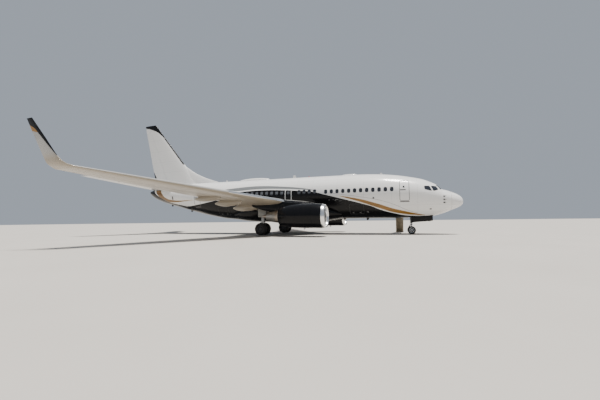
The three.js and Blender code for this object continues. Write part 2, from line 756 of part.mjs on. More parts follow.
function tyreGeometry({ radius, width, seat: seatShare }) {
  const seat = seatShare * radius + SEAM;
  const crown = radius / Math.cos(Math.PI / TYRE_SEGMENTS);
  const half = width / 2;
  const flank = [
    // radius, distance from the middle
    [seat, 0.7 * half], [0.68 * crown, half], [0.88 * crown, 0.96 * half], [crown, 0.55 * half],
  ];
  const far = flank.map(([r, w]) => [r, -w]).reverse();
  const profile = [...flank, ...far, flank[0]];
  return outward(facetDown(profile));
}

// Main gear leg, port side
function mainLeg() {
  const { station, y, wheelOffset, radius } = MAIN_GEAR;
  const place = (aft, out, z) => point(station + aft, y + out, z);
  const link = (from, to) => bar(place(from[0], 0, from[1]), place(to[0], 0, to[1]), 45, 35, 8);
  const legDoor = [[-360, 1600], [360, 1600], [400, 2600], [-400, 2600]];
  const panel = sideSlab(legDoor.map(([aft, z]) => [station + aft, z]), y + 205, y + 235);
  return cut(
    joined(
      bar(place(0, 0, radius), place(0, 0, 1350), 85, 85, 16),
      bar(place(0, 0, 1150), place(0, 0, 2700), 140, 140, 16),
      bar(place(0, 0, radius), place(0, 0, radius - 120), 110, 100, 16),
      bar(place(0, -wheelOffset - 150, radius), place(0, wheelOffset + 150, radius), 70, 70, 16),
      link([60, 1230], [420, 900]),
      link([420, 900], [60, 560]),
      bar(place(0, 0, 1500), place(0, -1500, 2150), 60, 60, 10),
      bar(place(0, 0, 1650), place(-1000, -60, 2600), 60, 60, 10),
      bar(place(0, 0, 1750), place(0, 230, 1750), 30, 30, 8),
      bar(place(0, 0, 2300), place(0, 230, 2300), 30, 30, 8),
      panel,
    ),
    wingGrown,
    bodyGrown,
    fairingGrown,
  );
}

// Nose gear: the upper leg is fixed, the lower leg steers inside it.
const NOSE_SOCKET = { foot: 930, depth: 1230, bore: 66, outer: 100 };
const noseAt = (aft, out, z) => point(NOSE_GEAR.station + aft, out, z);

const noseLegUpper = cut(
  joined(
    bar(noseAt(0, 0, NOSE_SOCKET.foot), noseAt(0, 0, 1900 - SEAM), NOSE_SOCKET.outer, NOSE_SOCKET.outer, 20),
    bar(noseAt(0, -330, 1700), noseAt(0, 330, 1700), 50, 50, 12),
    bar(noseAt(-40, 130, 1180), noseAt(-900, 200, 1900), 35, 35, 10),
    bar(noseAt(-40, -130, 1180), noseAt(-900, -200, 1900), 35, 35, 10),
    bar(noseAt(-40, -160, 1180), noseAt(-40, 160, 1180), 40, 40, 10),
  ),
  bar(
    noseAt(0, 0, NOSE_SOCKET.foot - 10),
    noseAt(0, 0, NOSE_SOCKET.depth),
    NOSE_SOCKET.bore,
    NOSE_SOCKET.bore,
    20,
  ),
  block(point(2000, -900, 1900 - SEAM), point(5000, 900, 2600)),
);
const noseLegLower = joined(
  bar(noseAt(0, 0, NOSE_GEAR.radius), noseAt(0, 0, NOSE_SOCKET.depth - 40), 58, 58, 20),
  bar(noseAt(0, -300, NOSE_GEAR.radius), noseAt(0, 300, NOSE_GEAR.radius), 45, 45, 12),
  bar(noseAt(0, 0, 760), noseAt(0, 0, 880), 92, 92, 16),
  bar(noseAt(40, 0, 820), noseAt(250, 0, 600), 32, 26, 8),
  bar(noseAt(250, 0, 600), noseAt(40, 0, 390), 26, 32, 8),
  block(noseAt(-170, -45, 300), noseAt(0, 45, 380)),
);

// Nose gear doors: two panels that hang open from the bay's edges
const noseDoor = cut(
  sideSlab([[2400, 1750], [4110, 1700], [4110, 1000], [2400, 1130]], 395, 425),
  bodyGrown,
);

// Airstair: the folding stair let down below the entry door on the port side
const STAIR = { middle: 4990, halfWidth: 350, topY: 1880, topZ: 2520, footY: 4300, footZ: 12, treads: 9 };

function airstair() {
  const { middle, halfWidth, topY, topZ, footY, footZ, treads } = STAIR;
  const parts = [];
  for (const side of [-1, 1]) {
    const station = middle + side * halfWidth;
    const inner = station - side * 45;
    const edges = [station, inner].sort((a, b) => a - b);
    const rings = edges.map((s) => [
      [at(s), topY, topZ], [at(s), footY, footZ], [at(s), footY - 190, footZ], [at(s), topY, topZ - 240],
    ]);
    parts.push(solid(loft(rings)));
    const rail = (share, rise) => point(station - side * 22, between(topY, footY, share),
      between(topZ, footZ, share) + rise);
    parts.push(bar(rail(0.04, 850), rail(0.9, 850), 20, 20, 8));
    for (const share of [0.06, 0.47, 0.88]) parts.push(bar(rail(share, -60), rail(share, 862), 16, 16, 8));
  }
  const soffit = [middle - halfWidth, middle + halfWidth].map((s) => [
    [at(s), topY, topZ - 215], [at(s), footY - 165, footZ], [at(s), footY - 190, footZ], [at(s), topY, topZ - 240],
  ]);
  parts.push(solid(loft(soffit)));
  for (let i = 0; i < treads; i += 1) {
    const share = (i + 0.5) / treads;
    const y = between(topY, footY, share);
    const z = between(topZ, footZ, share) - 60;
    const reach = halfWidth - 20;
    parts.push(block(point(middle - reach, y - 110, z - 30), point(middle + reach, y + 110, z)));
  }
  return cut(joined(...parts), bodyGrown, block(point(4000, 0, -200), point(6000, 9000, footZ)));
}

// Assembly
const aircraft = new THREE.Group();

function add(name, geometry, material, position = [0, 0, 0]) {
  const mesh = new THREE.Mesh(geometry, material);
  mesh.name = name;
  mesh.position.set(...position);
  aircraft.add(mesh);
}

function addPair(name, body, material) {
  const geometry = geometryOf(body);
  add(`${name}_left`, geometry, material);
  add(`${name}_right`, mirrored(geometry), material);
}

add('fuselage', geometryOf(joined(fuselage, cut(nosePad, bodySolid))), white);
add('radome', geometryOf(radome), white);
add('windscreen_frame', geometryOf(windscreenFrame), darkGlass);
add('belly_fairing', geometryOf(bellyFairing), black);
for (const row of doorRows) add(row[0], geometryOf(doorLeaf(row)), white);

addPair('wing', wing, wingGrey);
addPair('winglet', surface(wingletSections), white);
addPair('aileron', aileron.leaf, wingGrey);
for (const [name, span, front] of flapRows) {
  addPair(name, cut(wingSkin.intersect(flapZone(span, front, 0)), ...canoesGrown), wingGrey);
}

add('fin', geometryOf(fin), white);
add('rudder', geometryOf(rudder), white);
addPair('stabiliser', stabiliser, wingGrey);
addPair('elevator', elevator.leaf, wingGrey);

addPair('nacelle', nacelle, black);
addPair('inlet_lip', inletLip, bareMetal);
addPair('engine_core', engineCore, hotMetal);
addPair('pylon', pylon, black);
const fanGeometry = geometryOf(fanBody);
for (const [side, hand] of [[1, 'left'], [-1, 'right']]) {
  add(`fan_${hand}`, side > 0 ? fanGeometry : mirrored(fanGeometry), fanMetal,
    [at(FAN_STATION), side * ENGINE_Y, ENGINE_Z]);
}

addPair('main_leg', mainLeg(), gearPaint);
add('nose_leg_upper', geometryOf(noseLegUpper), gearPaint);
add('nose_leg_lower', geometryOf(noseLegLower), gearPaint);
addPair('nose_gear_door', noseDoor, white);

function addWheels(prefix, gear, middleY, bore) {
  for (const [side, hand] of [[1, 'port'], [-1, 'starboard']]) {
    const place = [at(gear.station), middleY + side * gear.wheelOffset, gear.radius];
    add(`${prefix}_rim_${hand}`, rimGeometry(gear, bore), rimPaint, place);
    add(`${prefix}_tyre_${hand}`, tyreGeometry(gear), rubber, place);
  }
}

addWheels('main_left', MAIN_GEAR, MAIN_GEAR.y, 78);
addWheels('main_right', MAIN_GEAR, -MAIN_GEAR.y, 78);
addWheels('nose', NOSE_GEAR, 0, 51);

add('airstair', geometryOf(airstair()), stairFinish);

aircraft.userData.hinges = {
  aileron: aileron,
  elevator: elevator,
  rudder: { pivot: rudderAxis[0].middle, direction: rudderRun },
};

export default aircraft;
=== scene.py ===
# Business jet of airliner size: smooth skins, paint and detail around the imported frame.
# Metres. +X points to the nose, +Y to port and +Z up; a station is the distance aft of the nose tip.
import json
from math import atan2, ceil, copysign, cos, dist, hypot, pi, radians, sin, sqrt, tau

import bmesh
import bpy
from mathutils import Matrix, Vector

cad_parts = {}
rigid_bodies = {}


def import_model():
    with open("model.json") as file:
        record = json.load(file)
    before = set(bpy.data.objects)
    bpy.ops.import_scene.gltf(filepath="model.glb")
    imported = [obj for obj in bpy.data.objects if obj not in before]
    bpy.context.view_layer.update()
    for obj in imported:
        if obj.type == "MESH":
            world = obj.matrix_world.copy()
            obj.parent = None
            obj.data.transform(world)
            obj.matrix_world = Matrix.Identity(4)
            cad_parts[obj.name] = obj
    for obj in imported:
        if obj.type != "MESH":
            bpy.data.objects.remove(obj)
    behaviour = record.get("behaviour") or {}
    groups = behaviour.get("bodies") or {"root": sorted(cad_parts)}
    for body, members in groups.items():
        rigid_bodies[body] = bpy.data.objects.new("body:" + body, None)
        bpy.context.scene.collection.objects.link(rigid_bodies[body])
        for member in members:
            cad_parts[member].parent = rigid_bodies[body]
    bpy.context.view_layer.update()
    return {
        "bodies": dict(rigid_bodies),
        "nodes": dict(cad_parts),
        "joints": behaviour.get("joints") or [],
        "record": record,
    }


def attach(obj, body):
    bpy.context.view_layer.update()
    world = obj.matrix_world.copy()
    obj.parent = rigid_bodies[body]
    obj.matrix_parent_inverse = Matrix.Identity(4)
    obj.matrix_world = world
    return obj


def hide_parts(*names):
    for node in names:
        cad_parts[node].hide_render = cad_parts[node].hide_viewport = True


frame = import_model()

scene = bpy.context.scene
noseX = 16.815


def at(station):
    return noseX - station


def point(station, y, z):
    return Vector((at(station), y, z))


def between(a, b, share):
    return a + (b - a) * share


def spread(low, high, count):
    return [between(low, high, i / (count - 1)) for i in range(count)]


def tipToTip(count):  # turns along a pod, just short of both tips, so that no ring closes up
    return spread(0.0001, pi - 0.0001, count)


# Shader sums: a Wire wraps a socket, and sums of wires add Math nodes
class Wire:
    def __init__(self, paint, socket):
        self.paint = paint
        self.socket = socket

    def math(self, operation, *others):
        return self.paint.math(operation, self, *others)

    def __add__(self, other):
        return self.math("ADD", other)

    __radd__ = __add__

    def __sub__(self, other):
        return self.math("SUBTRACT", other)

    def __rsub__(self, other):
        return self.paint.math("SUBTRACT", other, self)

    def __mul__(self, other):
        return self.math("MULTIPLY", other)

    __rmul__ = __mul__

    def __truediv__(self, other):
        return self.math("DIVIDE", other)

    def __rtruediv__(self, other):
        return self.paint.math("DIVIDE", other, self)

    def __abs__(self):
        return self.math("ABSOLUTE")

    def __gt__(self, other):
        return self.math("GREATER_THAN", other)

    def atMost(self, other):
        return self.math("MINIMUM", other)

    def rising(self, low, high):  # 0 below low and 1 above high
        ends = {"From Min": low, "From Max": high}
        return self.paint.node("MapRange", {"clamp": True}, {"Value": self, **ends})

    def near(self, centre, half, soft):  # 1 within half of the centre, fading out over soft
        return 1 - abs(self - centre).rising(half, half + soft)


class Paint:
    def __init__(self, name, **constants):
        self.material = bpy.data.materials.new(name)
        self.material.use_nodes = True
        self.tree = self.material.node_tree
        self.shader = self.tree.nodes["Principled BSDF"]
        for label, value in constants.items():
            self.shader.inputs[label.replace("_", " ")].default_value = value
        place = self.node("TexCoord", {}, {}, "Object")
        self.place = place
        split = self.node("SeparateXYZ", {}, {"Vector": place}, "X").socket.node
        self.x, self.y, self.z = (Wire(self, split.outputs[axis]) for axis in "XYZ")
        self.station = noseX - self.x

    def node(self, kind, settings, values, output=0):
        made = self.tree.nodes.new("ShaderNode" + kind)
        for label, value in settings.items():
            if label == "curve":
                self.fillCurve(made.mapping, value)
            else:
                setattr(made, label, value)
        for label, value in values.items():
            self.feed(made.inputs[label], value)
        return Wire(self, made.outputs[output])

    def fillCurve(self, mapping, points):
        curve = mapping.curves[0]
        while len(curve.points) < len(points):
            curve.points.new(1, 1)
        for spot, (across, up) in zip(curve.points, points):
            spot.location = (across, up)
        mapping.update()

    def feed(self, socket, value):
        if isinstance(value, Wire):
            self.tree.links.new(value.socket, socket)
        else:
            socket.default_value = value

    def math(self, operation, *values):
        return self.node("Math", {"operation": operation}, dict(enumerate(values)))

    def highest(self, *values):
        most = 0
        for value in values:
            most = self.math("MAXIMUM", most, value)
        return most

    def mix(self, share, first, second):
        values = {0: share, 6: first, 7: second}
        return self.node("Mix", {"data_type": "RGBA"}, values, 2)

    def scaled(self, scales):  # object coordinates, stretched
        return self.node("Mapping", {}, {"Vector": self.place, "Scale": scales})

    def cloudy(self, scales, detail, roughness=0.55):
        values = {"Vector": self.scaled(scales), "Scale": 1, "Detail": detail, "Roughness": roughness}
        return self.node("TexNoise", {}, values, 0)

    def line(self, places, heights):  # a smooth line through measured points: heights over a place
        low, high = heights[0][0], heights[-1][0]
        tall = max(height for _, height in heights) + 1
        points = [((a - low) / (high - low), b / tall) for a, b in heights]
        return self.node("FloatCurve", {"curve": points}, {"Value": places.rising(low, high)}) * tall

    def bump(self, height, distance):
        return self.node("Bump", {}, {"Height": height, "Distance": distance, "Strength": 1})

    def use(self, **wires):
        for label, wire in wires.items():
            self.feed(self.shader.inputs[label.replace("_", " ")], wire)
        return self.material


def rgb(red, green, blue):
    return (red, green, blue, 1)


# Mesh making: a tube is a row of rings, and place(row, angle) puts each corner where it belongs
def tube(rows, sides, place, filled=True):
    shape = bmesh.new()
    bmesh.ops.create_circle(shape, segments=sides, radius=1)
    edges = shape.edges[:]
    for _ in rows[1:]:
        made = bmesh.ops.extrude_edge_only(shape, edges=edges)["geom"]
        edges = [part for part in made if isinstance(part, bmesh.types.BMEdge)]
        corners = [part for part in made if isinstance(part, bmesh.types.BMVert)]
        bmesh.ops.translate(shape, verts=corners, vec=(0, 0, 1))
    if filled:
        bmesh.ops.holes_fill(shape, edges=[edge for edge in shape.edges if edge.is_boundary])
    for corner in shape.verts:
        corner.co = place(rows[round(corner.co.z)], atan2(corner.co.y, corner.co.x))
    return closedUp(shape)


weldGap = 0.0002  # corners closer than this become one


def closedUp(shape):
    bmesh.ops.remove_doubles(shape, verts=shape.verts, dist=weldGap)
    bmesh.ops.recalc_face_normals(shape, faces=shape.faces)
    return shape


def turned(profile, sides, centre, axis):  # profile rows are (radius, distance along the axis)
    turn = Vector(axis).to_track_quat("Z", "Y").to_matrix()
    return tube(profile, sides, lambda row, angle: Vector(centre) + turn @ Vector(
        (row[0] * cos(angle), row[0] * sin(angle), row[1])))


def rod(start, end, radius, endRadius=None, sides=20, edge=0.006):
    run = Vector(end) - Vector(start)
    last = radius if endRadius is None else endRadius
    profile = [(0, 0), (radius - edge, 0), (radius, edge), (last, run.length - edge),
               (last - edge, run.length), (0, run.length)]
    return turned(profile, sides, start, run)


def rods(spot, rows):  # rows are start, end, radius, and perhaps end radius, sides and edge
    return [rod(spot(*row[0]), spot(*row[1]), *row[2:]) for row in rows]


def prism(outline, shift, edge=0):  # a flat outline pushed along shift
    shape = bmesh.new()
    face = shape.faces.new([shape.verts.new(corner) for corner in outline])
    made = bmesh.ops.extrude_face_region(shape, geom=[face])["geom"]
    corners = [part for part in made if isinstance(part, bmesh.types.BMVert)]
    bmesh.ops.translate(shape, verts=corners, vec=shift)
    if edge:
        roundEdges(shape, edge)
    return closedUp(shape)


def roundEdges(shape, edge):
    bmesh.ops.bevel(shape, geom=shape.edges[:], offset=edge, segments=2, profile=0.5, affect="EDGES",
                    material=-1, clamp_overlap=True)


def block(low, high, edge=0.004):
    size = Vector(high) - Vector(low)
    shape = bmesh.new()
    bmesh.ops.create_cube(shape, size=1)
    bmesh.ops.scale(shape, verts=shape.verts, vec=size)
    bmesh.ops.translate(shape, verts=shape.verts, vec=Vector(low) + size / 2)
    if edge:
        roundEdges(shape, edge)
    return shape


def sheetOf(cells, place, thickness):  # a grid over two shares from 0 to 1, warped by place
    shape = bmesh.new()
    bmesh.ops.create_grid(shape, x_segments=cells[0], y_segments=cells[1], size=0.5)
    for corner in shape.verts:
        corner.co = place(corner.co.x + 0.5, corner.co.y + 0.5)
    bmesh.ops.solidify(shape, geom=shape.faces[:], thickness=thickness)
    return closedUp(shape)


def mirroredCopy(shape):
    copy = shape.copy()
    bmesh.ops.scale(copy, verts=copy.verts, vec=(1, -1, 1))
    bmesh.ops.reverse_faces(copy, faces=copy.faces)
    return copy


def tinted(shape, index):  # which of the piece's finishes its faces take
    for face in shape.faces:
        face.material_index = index
    return shape


def layered(*groups):  # the first group takes the piece's first finish, and so on
    return joined([tinted(shape, index) for index, group in enumerate(groups) for shape in group])


def joined(shapes):
    whole = bmesh.new()
    for shape in shapes:
        store = bpy.data.meshes.new("store")
        shape.to_mesh(store)
        whole.from_mesh(store)
        bpy.data.meshes.remove(store)
    return whole


def carved(shape, steps):  # steps are (operation, tool): DIFFERENCE, UNION or INTERSECT
    made = []
    for part in [shape] + [tool for _, tool in steps]:
        store = bpy.data.meshes.new("store")
        part.to_mesh(store)
        made.append(bpy.data.objects.new("store", store))
        scene.collection.objects.link(made[-1])
    for (operation, _), tool in zip(steps, made[1:]):
        change = made[0].modifiers.new("carve", "BOOLEAN")
        change.operation = operation
        change.object = tool
        change.solver = "MANIFOLD"
    result = bmesh.new()
    graph = bpy.context.evaluated_depsgraph_get()
    store = made[0].evaluated_get(graph).to_mesh()
    result.from_mesh(store)
    for part in made:
        mesh = part.data
        bpy.data.objects.remove(part)
        bpy.data.meshes.remove(mesh)
    return result


sharpAngle = radians(32)  # edges that turn by more than this look sharp


def cut(shape, *tools):
    return carved(shape, [("DIFFERENCE", tool) for tool in tools])


def piece(name, finishes, shape, slot, replaced=(), body="airframe"):
    mesh = bpy.data.meshes.new(name)
    shape.to_mesh(mesh)
    for finish in finishes.split():
        mesh.materials.append(paints[finish])
    mesh.polygons.foreach_set("use_smooth", [True] * len(mesh.polygons))
    mesh.set_sharp_from_angle(angle=sharpAngle)
    thing = bpy.data.objects.new(name, mesh)
    scene.collection.objects.link(thing)
    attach(thing, body)
    if replaced:
        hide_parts(*replaced)
    return thing


hands = (("left", 1), ("right", -1))


def pair(name, finishes, shape, slot, replaced=(), body="airframe"):
    for hand, side in hands:
        nodes = [f"{node}_{hand}" for node in replaced]
        rides = body if body == "airframe" else f"{body}_{hand}"
        half = shape if side > 0 else mirroredCopy(shape)
        piece(f"{name}_{hand}", finishes, half, slot, nodes, rides)


# Smooth lines through a table: the first column is the place, and the others are values there
class Lines:
    def __init__(self, rows, stretch=lambda place: place):
        self.stretch = stretch
        self.places = [stretch(row[0]) for row in rows]
        self.columns = [[row[k] for row in rows] for k in range(1, len(rows[0]))]
        self.slopes = [self.slopesOf(column) for column in self.columns]

    def slopesOf(self, column):
        steps = [(b - a) / (q - p) for a, b, p, q in zip(column, column[1:], self.places, self.places[1:])]
        slopes = [steps[0]]
        for before, after in zip(steps, steps[1:]):
            level = before * after <= 0
            slopes.append(0 if level else 2 * before * after / (before + after))
        return slopes + [steps[-1]]

    def __call__(self, place):
        p = min(max(self.stretch(place), self.places[0]), self.places[-1])
        k = max(i for i in range(len(self.places) - 1) if self.places[i] <= p)
        gap = self.places[k + 1] - self.places[k]
        t = (p - self.places[k]) / gap
        result = []
        for column, slopes in zip(self.columns, self.slopes):
            a, b, m, n = column[k], column[k + 1], slopes[k] * gap, slopes[k + 1] * gap
            result.append(a + t * (m + t * (3 * (b - a) - 2 * m - n + t * (m + n - 2 * (b - a)))))
        return result


# Hull: two half ellipses that meet at the widest height
bodyRows = [
    # station, top, bottom, half width, widest height
    (0, 2.712, 2.708, 0.002, 2.71), (0.1, 3.035, 2.43, 0.31, 2.725), (0.35, 3.265, 2.255, 0.565, 2.76),
    (0.8, 3.5, 2.065, 0.845, 2.835), (1.3, 3.69, 1.85, 1.075, 2.94), (1.6, 3.78, 1.735, 1.18, 3.01),
    (1.9, 4.105, 1.645, 1.275, 3.07), (2.2, 4.3, 1.57, 1.36, 3.135), (2.56, 4.48, 1.515, 1.445, 3.205),
    (3.1, 4.705, 1.46, 1.555, 3.3), (4, 4.93, 1.405, 1.69, 3.415), (5.2, 5.16, 1.39, 1.81, 3.505),
    (6.8, 5.34, 1.4, 1.868, 3.55),
    (8.6, 5.415, 1.41, 1.88, 3.56), (14, 5.43, 1.41, 1.88, 3.56), (19.8, 5.43, 1.41, 1.88, 3.56),
    (21.8, 5.43, 1.53, 1.872, 3.575), (23.6, 5.43, 1.81, 1.81, 3.64), (25.6, 5.425, 2.26, 1.66, 3.79),
    (27.6, 5.39, 2.78, 1.395, 4.02), (29, 5.3, 3.13, 1.13, 4.19), (30.2, 5.175, 3.48, 0.86, 4.34),
    (31.2, 5.02, 3.85, 0.58, 4.47), (31.8, 4.905, 4.16, 0.37, 4.57), (32.18, 4.8, 4.46, 0.185, 4.64),
]
body = Lines(bodyRows, sqrt)
bodySides = 96
radomeStation = 0.98


def hullPoint(lines, station, angle, grow):
    top, bottom, half, widest = lines(station)
    rise = top - widest if cos(angle) > 0 else widest - bottom
    return point(station, (half + grow) * sin(angle), widest + (rise + grow) * cos(angle))


def hull(stations, grow=0.0, lines=body, sides=bodySides):
    return tube(stations, sides, lambda station, angle: hullPoint(lines, station, angle, grow))


def noseStations(last):  # close together at the blunt nose
    return [last * (i / 24) ** 2 for i in range(25)]


radomeStations = noseStations(radomeStation)
bodyStations = spread(radomeStation + 0.012, 4.0, 26) + spread(4.2, 32.18, 76)


def reachAt(lines, station, z):  # half width, widest height, and how far the skin reaches from there
    top, bottom, half, widest = lines(station)
    return half, widest, top - widest if z > widest else widest - bottom


def hullShare(station, y, z):  # 0 on the axis and 1 on the skin
    half, widest, reach = reachAt(body, station, z)
    return (y / half) ** 2 + ((z - widest) / reach) ** 2


def lifted(station, y, z, lift):  # a point on the skin, moved out along the skin's normal
    step = 0.005
    slopes = [(hullShare(station - step, y, z) - hullShare(station + step, y, z)),
              (hullShare(station, y + step, z) - hullShare(station, y - step, z)),
              (hullShare(station, y, z + step) - hullShare(station, y, z - step))]
    return point(station, y, z) + Vector(slopes).normalized() * lift


def widthAt(station, z, lines=body):
    half, widest, reach = reachAt(lines, station, z)
    return half * sqrt(max(0.0, 1 - ((z - widest) / reach) ** 2))


def sidePoint(side, station, z, lift):
    return lifted(station, side * widthAt(station, z), z, lift)


def frontPoint(side, y, z, lift):  # on the nose, seen from the front
    low, high = 1.0, 4.0
    for _ in range(30):
        middle = (low + high) / 2
        if hullShare(middle, y, z) > 1:
            low = middle
        else:
            high = middle
    return lifted(high, side * y, z, lift)


def roundedRectangle(width, height, corner, steps=5):  # centred, counter-clockwise
    outline = []
    for start, (u, v) in zip((0, 90, 180, 270), ((1, 1), (-1, 1), (-1, -1), (1, -1))):
        for i in range(steps + 1):
            turn = radians(start + 90 * i / steps)
            outline.append((u * (width / 2 - corner) + corner * cos(turn),
                            v * (height / 2 - corner) + corner * sin(turn)))
    return outline


def plateAt(station, z, width, height, corner):  # a small rounded plate on the skin
    return [(station + u, z + v) for u, v in roundedRectangle(width, height, corner)]


def rounded(corners, radius, steps=4):  # rounds the corners of an outline
    outline = []
    for before, corner, after in zip(corners[-1:] + corners[:-1], corners, corners[1:] + corners[:1]):
        b, c, a = Vector(before), Vector(corner), Vector(after)
        start = c + (b - c).normalized() * radius
        end = c + (a - c).normalized() * radius
        for i in range(steps + 1):
            t = i / steps
            outline.append(tuple(start * (1 - t) ** 2 + c * 2 * t * (1 - t) + end * t ** 2))
    return outline


def middleOf(outline):
    return [sum(corner[k] for corner in outline) / len(outline) for k in range(2)]


def finer(outline, step=0.08):  # more corners, so that straight edges follow the round skin
    made = []
    for a, b in zip(outline, outline[1:] + outline[:1]):
        count = ceil(dist(a, b) / step)
        made += [tuple(between(p, q, i / count) for p, q in zip(a, b)) for i in range(count)]
    return made


def inlay(outline, rows, project):  # rows are (share of the outline, lift off the skin)
    outline = finer(outline)
    middle = middleOf(outline)
    sides = len(outline)

    def place(row, angle):
        corner = outline[round((angle % tau) / tau * sides) % sides]
        share, lift = row
        return project(between(middle[0], corner[0], share), between(middle[1], corner[1], share), lift)
    return tube(rows, sides, place)


def onSide(side):
    return lambda station, z, lift: sidePoint(side, station, z, lift)


# Paint lines on the hull, measured from the photograph: (station, height)
livery = {
    "belly": [(2.4, 1.60), (3.13, 1.56), (4.29, 1.585), (5.58, 1.835), (6.53, 2.11), (7.3, 2.43),
              (8.15, 2.69), (9.05, 2.94), (9.9, 3.17), (11.32, 3.55), (12.61, 3.88), (13.95, 4.0),
              (14.98, 4.08), (16.75, 4.17), (18.59, 4.16), (19.72, 4.08), (20.8, 3.82),
              (21.97, 3.46), (23.3, 3.22), (24.76, 3.02), (26.3, 2.91), (27.04, 3.04),
              (28.19, 3.27), (29.23, 3.52), (29.99, 3.88), (30.9, 4.38),
              (31.41, 4.85), (32.2, 5.4)],
    "goldTop": [(3.0, 1.63), (3.6, 1.74), (4.5, 1.94), (5.71, 2.25), (6.52, 2.54), (7.34, 2.8), (8.18, 3.04),
                (9.04, 3.22), (9.6, 3.32), (10.0, 3.37)],
    "goldLow": [(3.0, 1.62), (3.6, 1.63), (4.5, 1.71), (5.72, 1.94), (6.53, 2.21), (7.36, 2.5), (8.19, 2.8),
                (9.04, 3.07), (9.6, 3.24), (10.0, 3.36)],
    "pin": [(3.6, 1.8), (4.3, 2.0), (5.55, 2.56), (6.82, 2.96), (8.12, 3.22), (9.48, 3.45), (10.6, 3.62)],
    "greyTop": [(11.8, 3.87), (12.62, 4.08), (13.63, 4.26), (15.38, 4.46), (17.59, 4.62), (18.93, 4.61),
                (19.83, 4.56), (21.5, 4.43)],
    "greyLow": [(11.8, 3.87), (12.61, 3.99), (13.95, 4.13), (15, 4.2), (16.77, 4.29), (18.6, 4.28),
                (19.73, 4.21), (20.3, 4.22), (21.5, 4.43)],
    "tailLow": [(25.2, 3.5), (26.27, 3.43), (27.36, 3.38), (28.44, 3.4), (29.53, 3.55), (30.2, 3.93),
                (30.8, 4.5), (31.3, 5.2)],
    "tailTop": [(25.2, 3.51), (26.27, 3.51), (27.28, 3.53), (28.28, 3.63), (29.26, 3.9), (29.86, 4.4),
                (30.3, 5.0)],
}
# under: a warm tan for the wing's downward faces, the flap-track canoes and the winglet's foot, painted
# bounce light from the pale floor over grey paint
shades = {
    "white": rgb(0.80, 0.80, 0.79), "black": rgb(0.004, 0.004, 0.005), "gold": rgb(0.30, 0.155, 0.035),
    "goldDark": rgb(0.19, 0.095, 0.02), "grey": rgb(0.19, 0.20, 0.205), "pin": rgb(0.20, 0.17, 0.19),
    "cream": rgb(0.80, 0.71, 0.58), "wing": rgb(0.36, 0.355, 0.34), "under": rgb(0.33, 0.285, 0.22),
    "soot": rgb(0.016, 0.014, 0.012), "metal": rgb(0.83, 0.83, 0.82),
    "rubber": rgb(0.012, 0.012, 0.013), "seal": rgb(0.05, 0.05, 0.055),
}
fade = 0.006  # softness of a paint line
grime = rgb(0.30, 0.27, 0.22)
joint = rgb(0.05, 0.05, 0.05)


def stripe(paint, lowLine, topLine):
    low, top = paint.line(paint.station, lowLine), paint.line(paint.station, topLine)
    first, last = lowLine[0][0], lowLine[-1][0]
    inside = paint.station.rising(first, first + 0.02) * (1 - paint.station.rising(last - 0.02, last))
    return (paint.z - low).rising(0, fade) * (top - paint.z).rising(0, fade) * inside


def seamLines(paint, rings, laps):  # dark hairlines round the body at stations, and along it at heights
    return paint.highest(*(paint.station.near(station, 0.003, 0.003) for station in rings),
                         *(paint.z.near(height, 0.0025, 0.003) for height in laps))


def skinFinish(paint, colour, marks, roughness=0.22, dirt=0.10, grimeTone=grime, jointTone=joint):
    # gloss paint on rivetted sheet: long shallow waves, fine orange peel, faint grime and darker joints
    waves = paint.cloudy((0.9, 0.9, 1.6), 2)
    peel = paint.cloudy((160, 160, 160), 1)
    film = paint.cloudy((0.35, 1.2, 5.0), 5, 0.62)
    low = (1 - paint.z.rising(1.6, 4.6)) * 0.7 + 0.3
    soiled = (film.rising(0.46, 0.78) * low * dirt).atMost(1)
    tone = paint.mix(soiled, colour, grimeTone)
    tone = paint.mix(marks * 0.45, tone, jointTone)
    height = waves * 0.5 + peel * 0.0012 - marks * 0.10
    return paint.use(Base_Color=tone, Roughness=soiled * 0.5 + roughness + film * 0.05,
                     Normal=paint.bump(height, 0.012))


def hullPaint():
    paint = Paint("hull_paint", Coat_Roughness=0.12, Specular_IOR_Level=0.2)
    white = shades["white"]
    colour = paint.mix(stripe(paint, livery["greyLow"], livery["greyTop"]), white, shades["grey"])
    pinLow = [(s, z - 0.014) for s, z in livery["pin"]]
    pinTop = [(s, z + 0.014) for s, z in livery["pin"]]
    colour = paint.mix(stripe(paint, pinLow, pinTop), colour, shades["pin"])
    for low, top in (("goldLow", "goldTop"), ("tailLow", "tailTop")):
        wide = stripe(paint, [(s, z - 0.03) for s, z in livery[low]], [(s, z + 0.03) for s, z in livery[top]])
        colour = paint.mix(wide, colour, shades["cream"])
        sheen = paint.cloudy((1.1, 1.1, 9), 2).rising(0.38, 0.62)
        # From station 20 to 24 the gold fades to its dark tone and stays dark on the tail: painted shade on
        # the tail's downward-facing sides.
        gold = paint.mix(sheen * (1 - paint.station.rising(20, 24)), shades["goldDark"], shades["gold"])
        colour = paint.mix(stripe(paint, livery[low], livery[top]), colour, gold)
    edge = paint.line(paint.station, livery["belly"])
    below = (edge - paint.z).rising(0, fade) * paint.station.rising(2.62, 2.63)
    colour = paint.mix(below, colour, shades["black"])
    marks = seamLines(paint, (radomeStation + 0.006, 3.6, 5.62, 7.9, 10.2, 12.4, 13.9, 15.9, 18.2, 20.4,
                              22.6, 25.4, 27.2, 29.2, 31.0), (2.45, 3.42, 4.28, 4.86, 5.2))
    paint.use(Coat_Weight=0.5 - below * 0.44)
    tones = [paint.mix(below, tone, shades["soot"]) for tone in (grime, joint)]
    return skinFinish(paint, colour, marks, grimeTone=tones[0], jointTone=tones[1])


def plainGloss(name, colour, rings=(), laps=(), roughness=0.22, dirt=0.10, dark=False):
    sheen = {"Coat_Weight": 0.06, "Specular_IOR_Level": 0.16} if dark else {"Coat_Weight": 0.5}
    paint = Paint(name, Coat_Roughness=0.05, **sheen)
    tones = (shades["soot"], shades["soot"]) if dark else (grime, joint)
    return skinFinish(paint, colour, seamLines(paint, rings, laps), roughness, dirt, *tones)


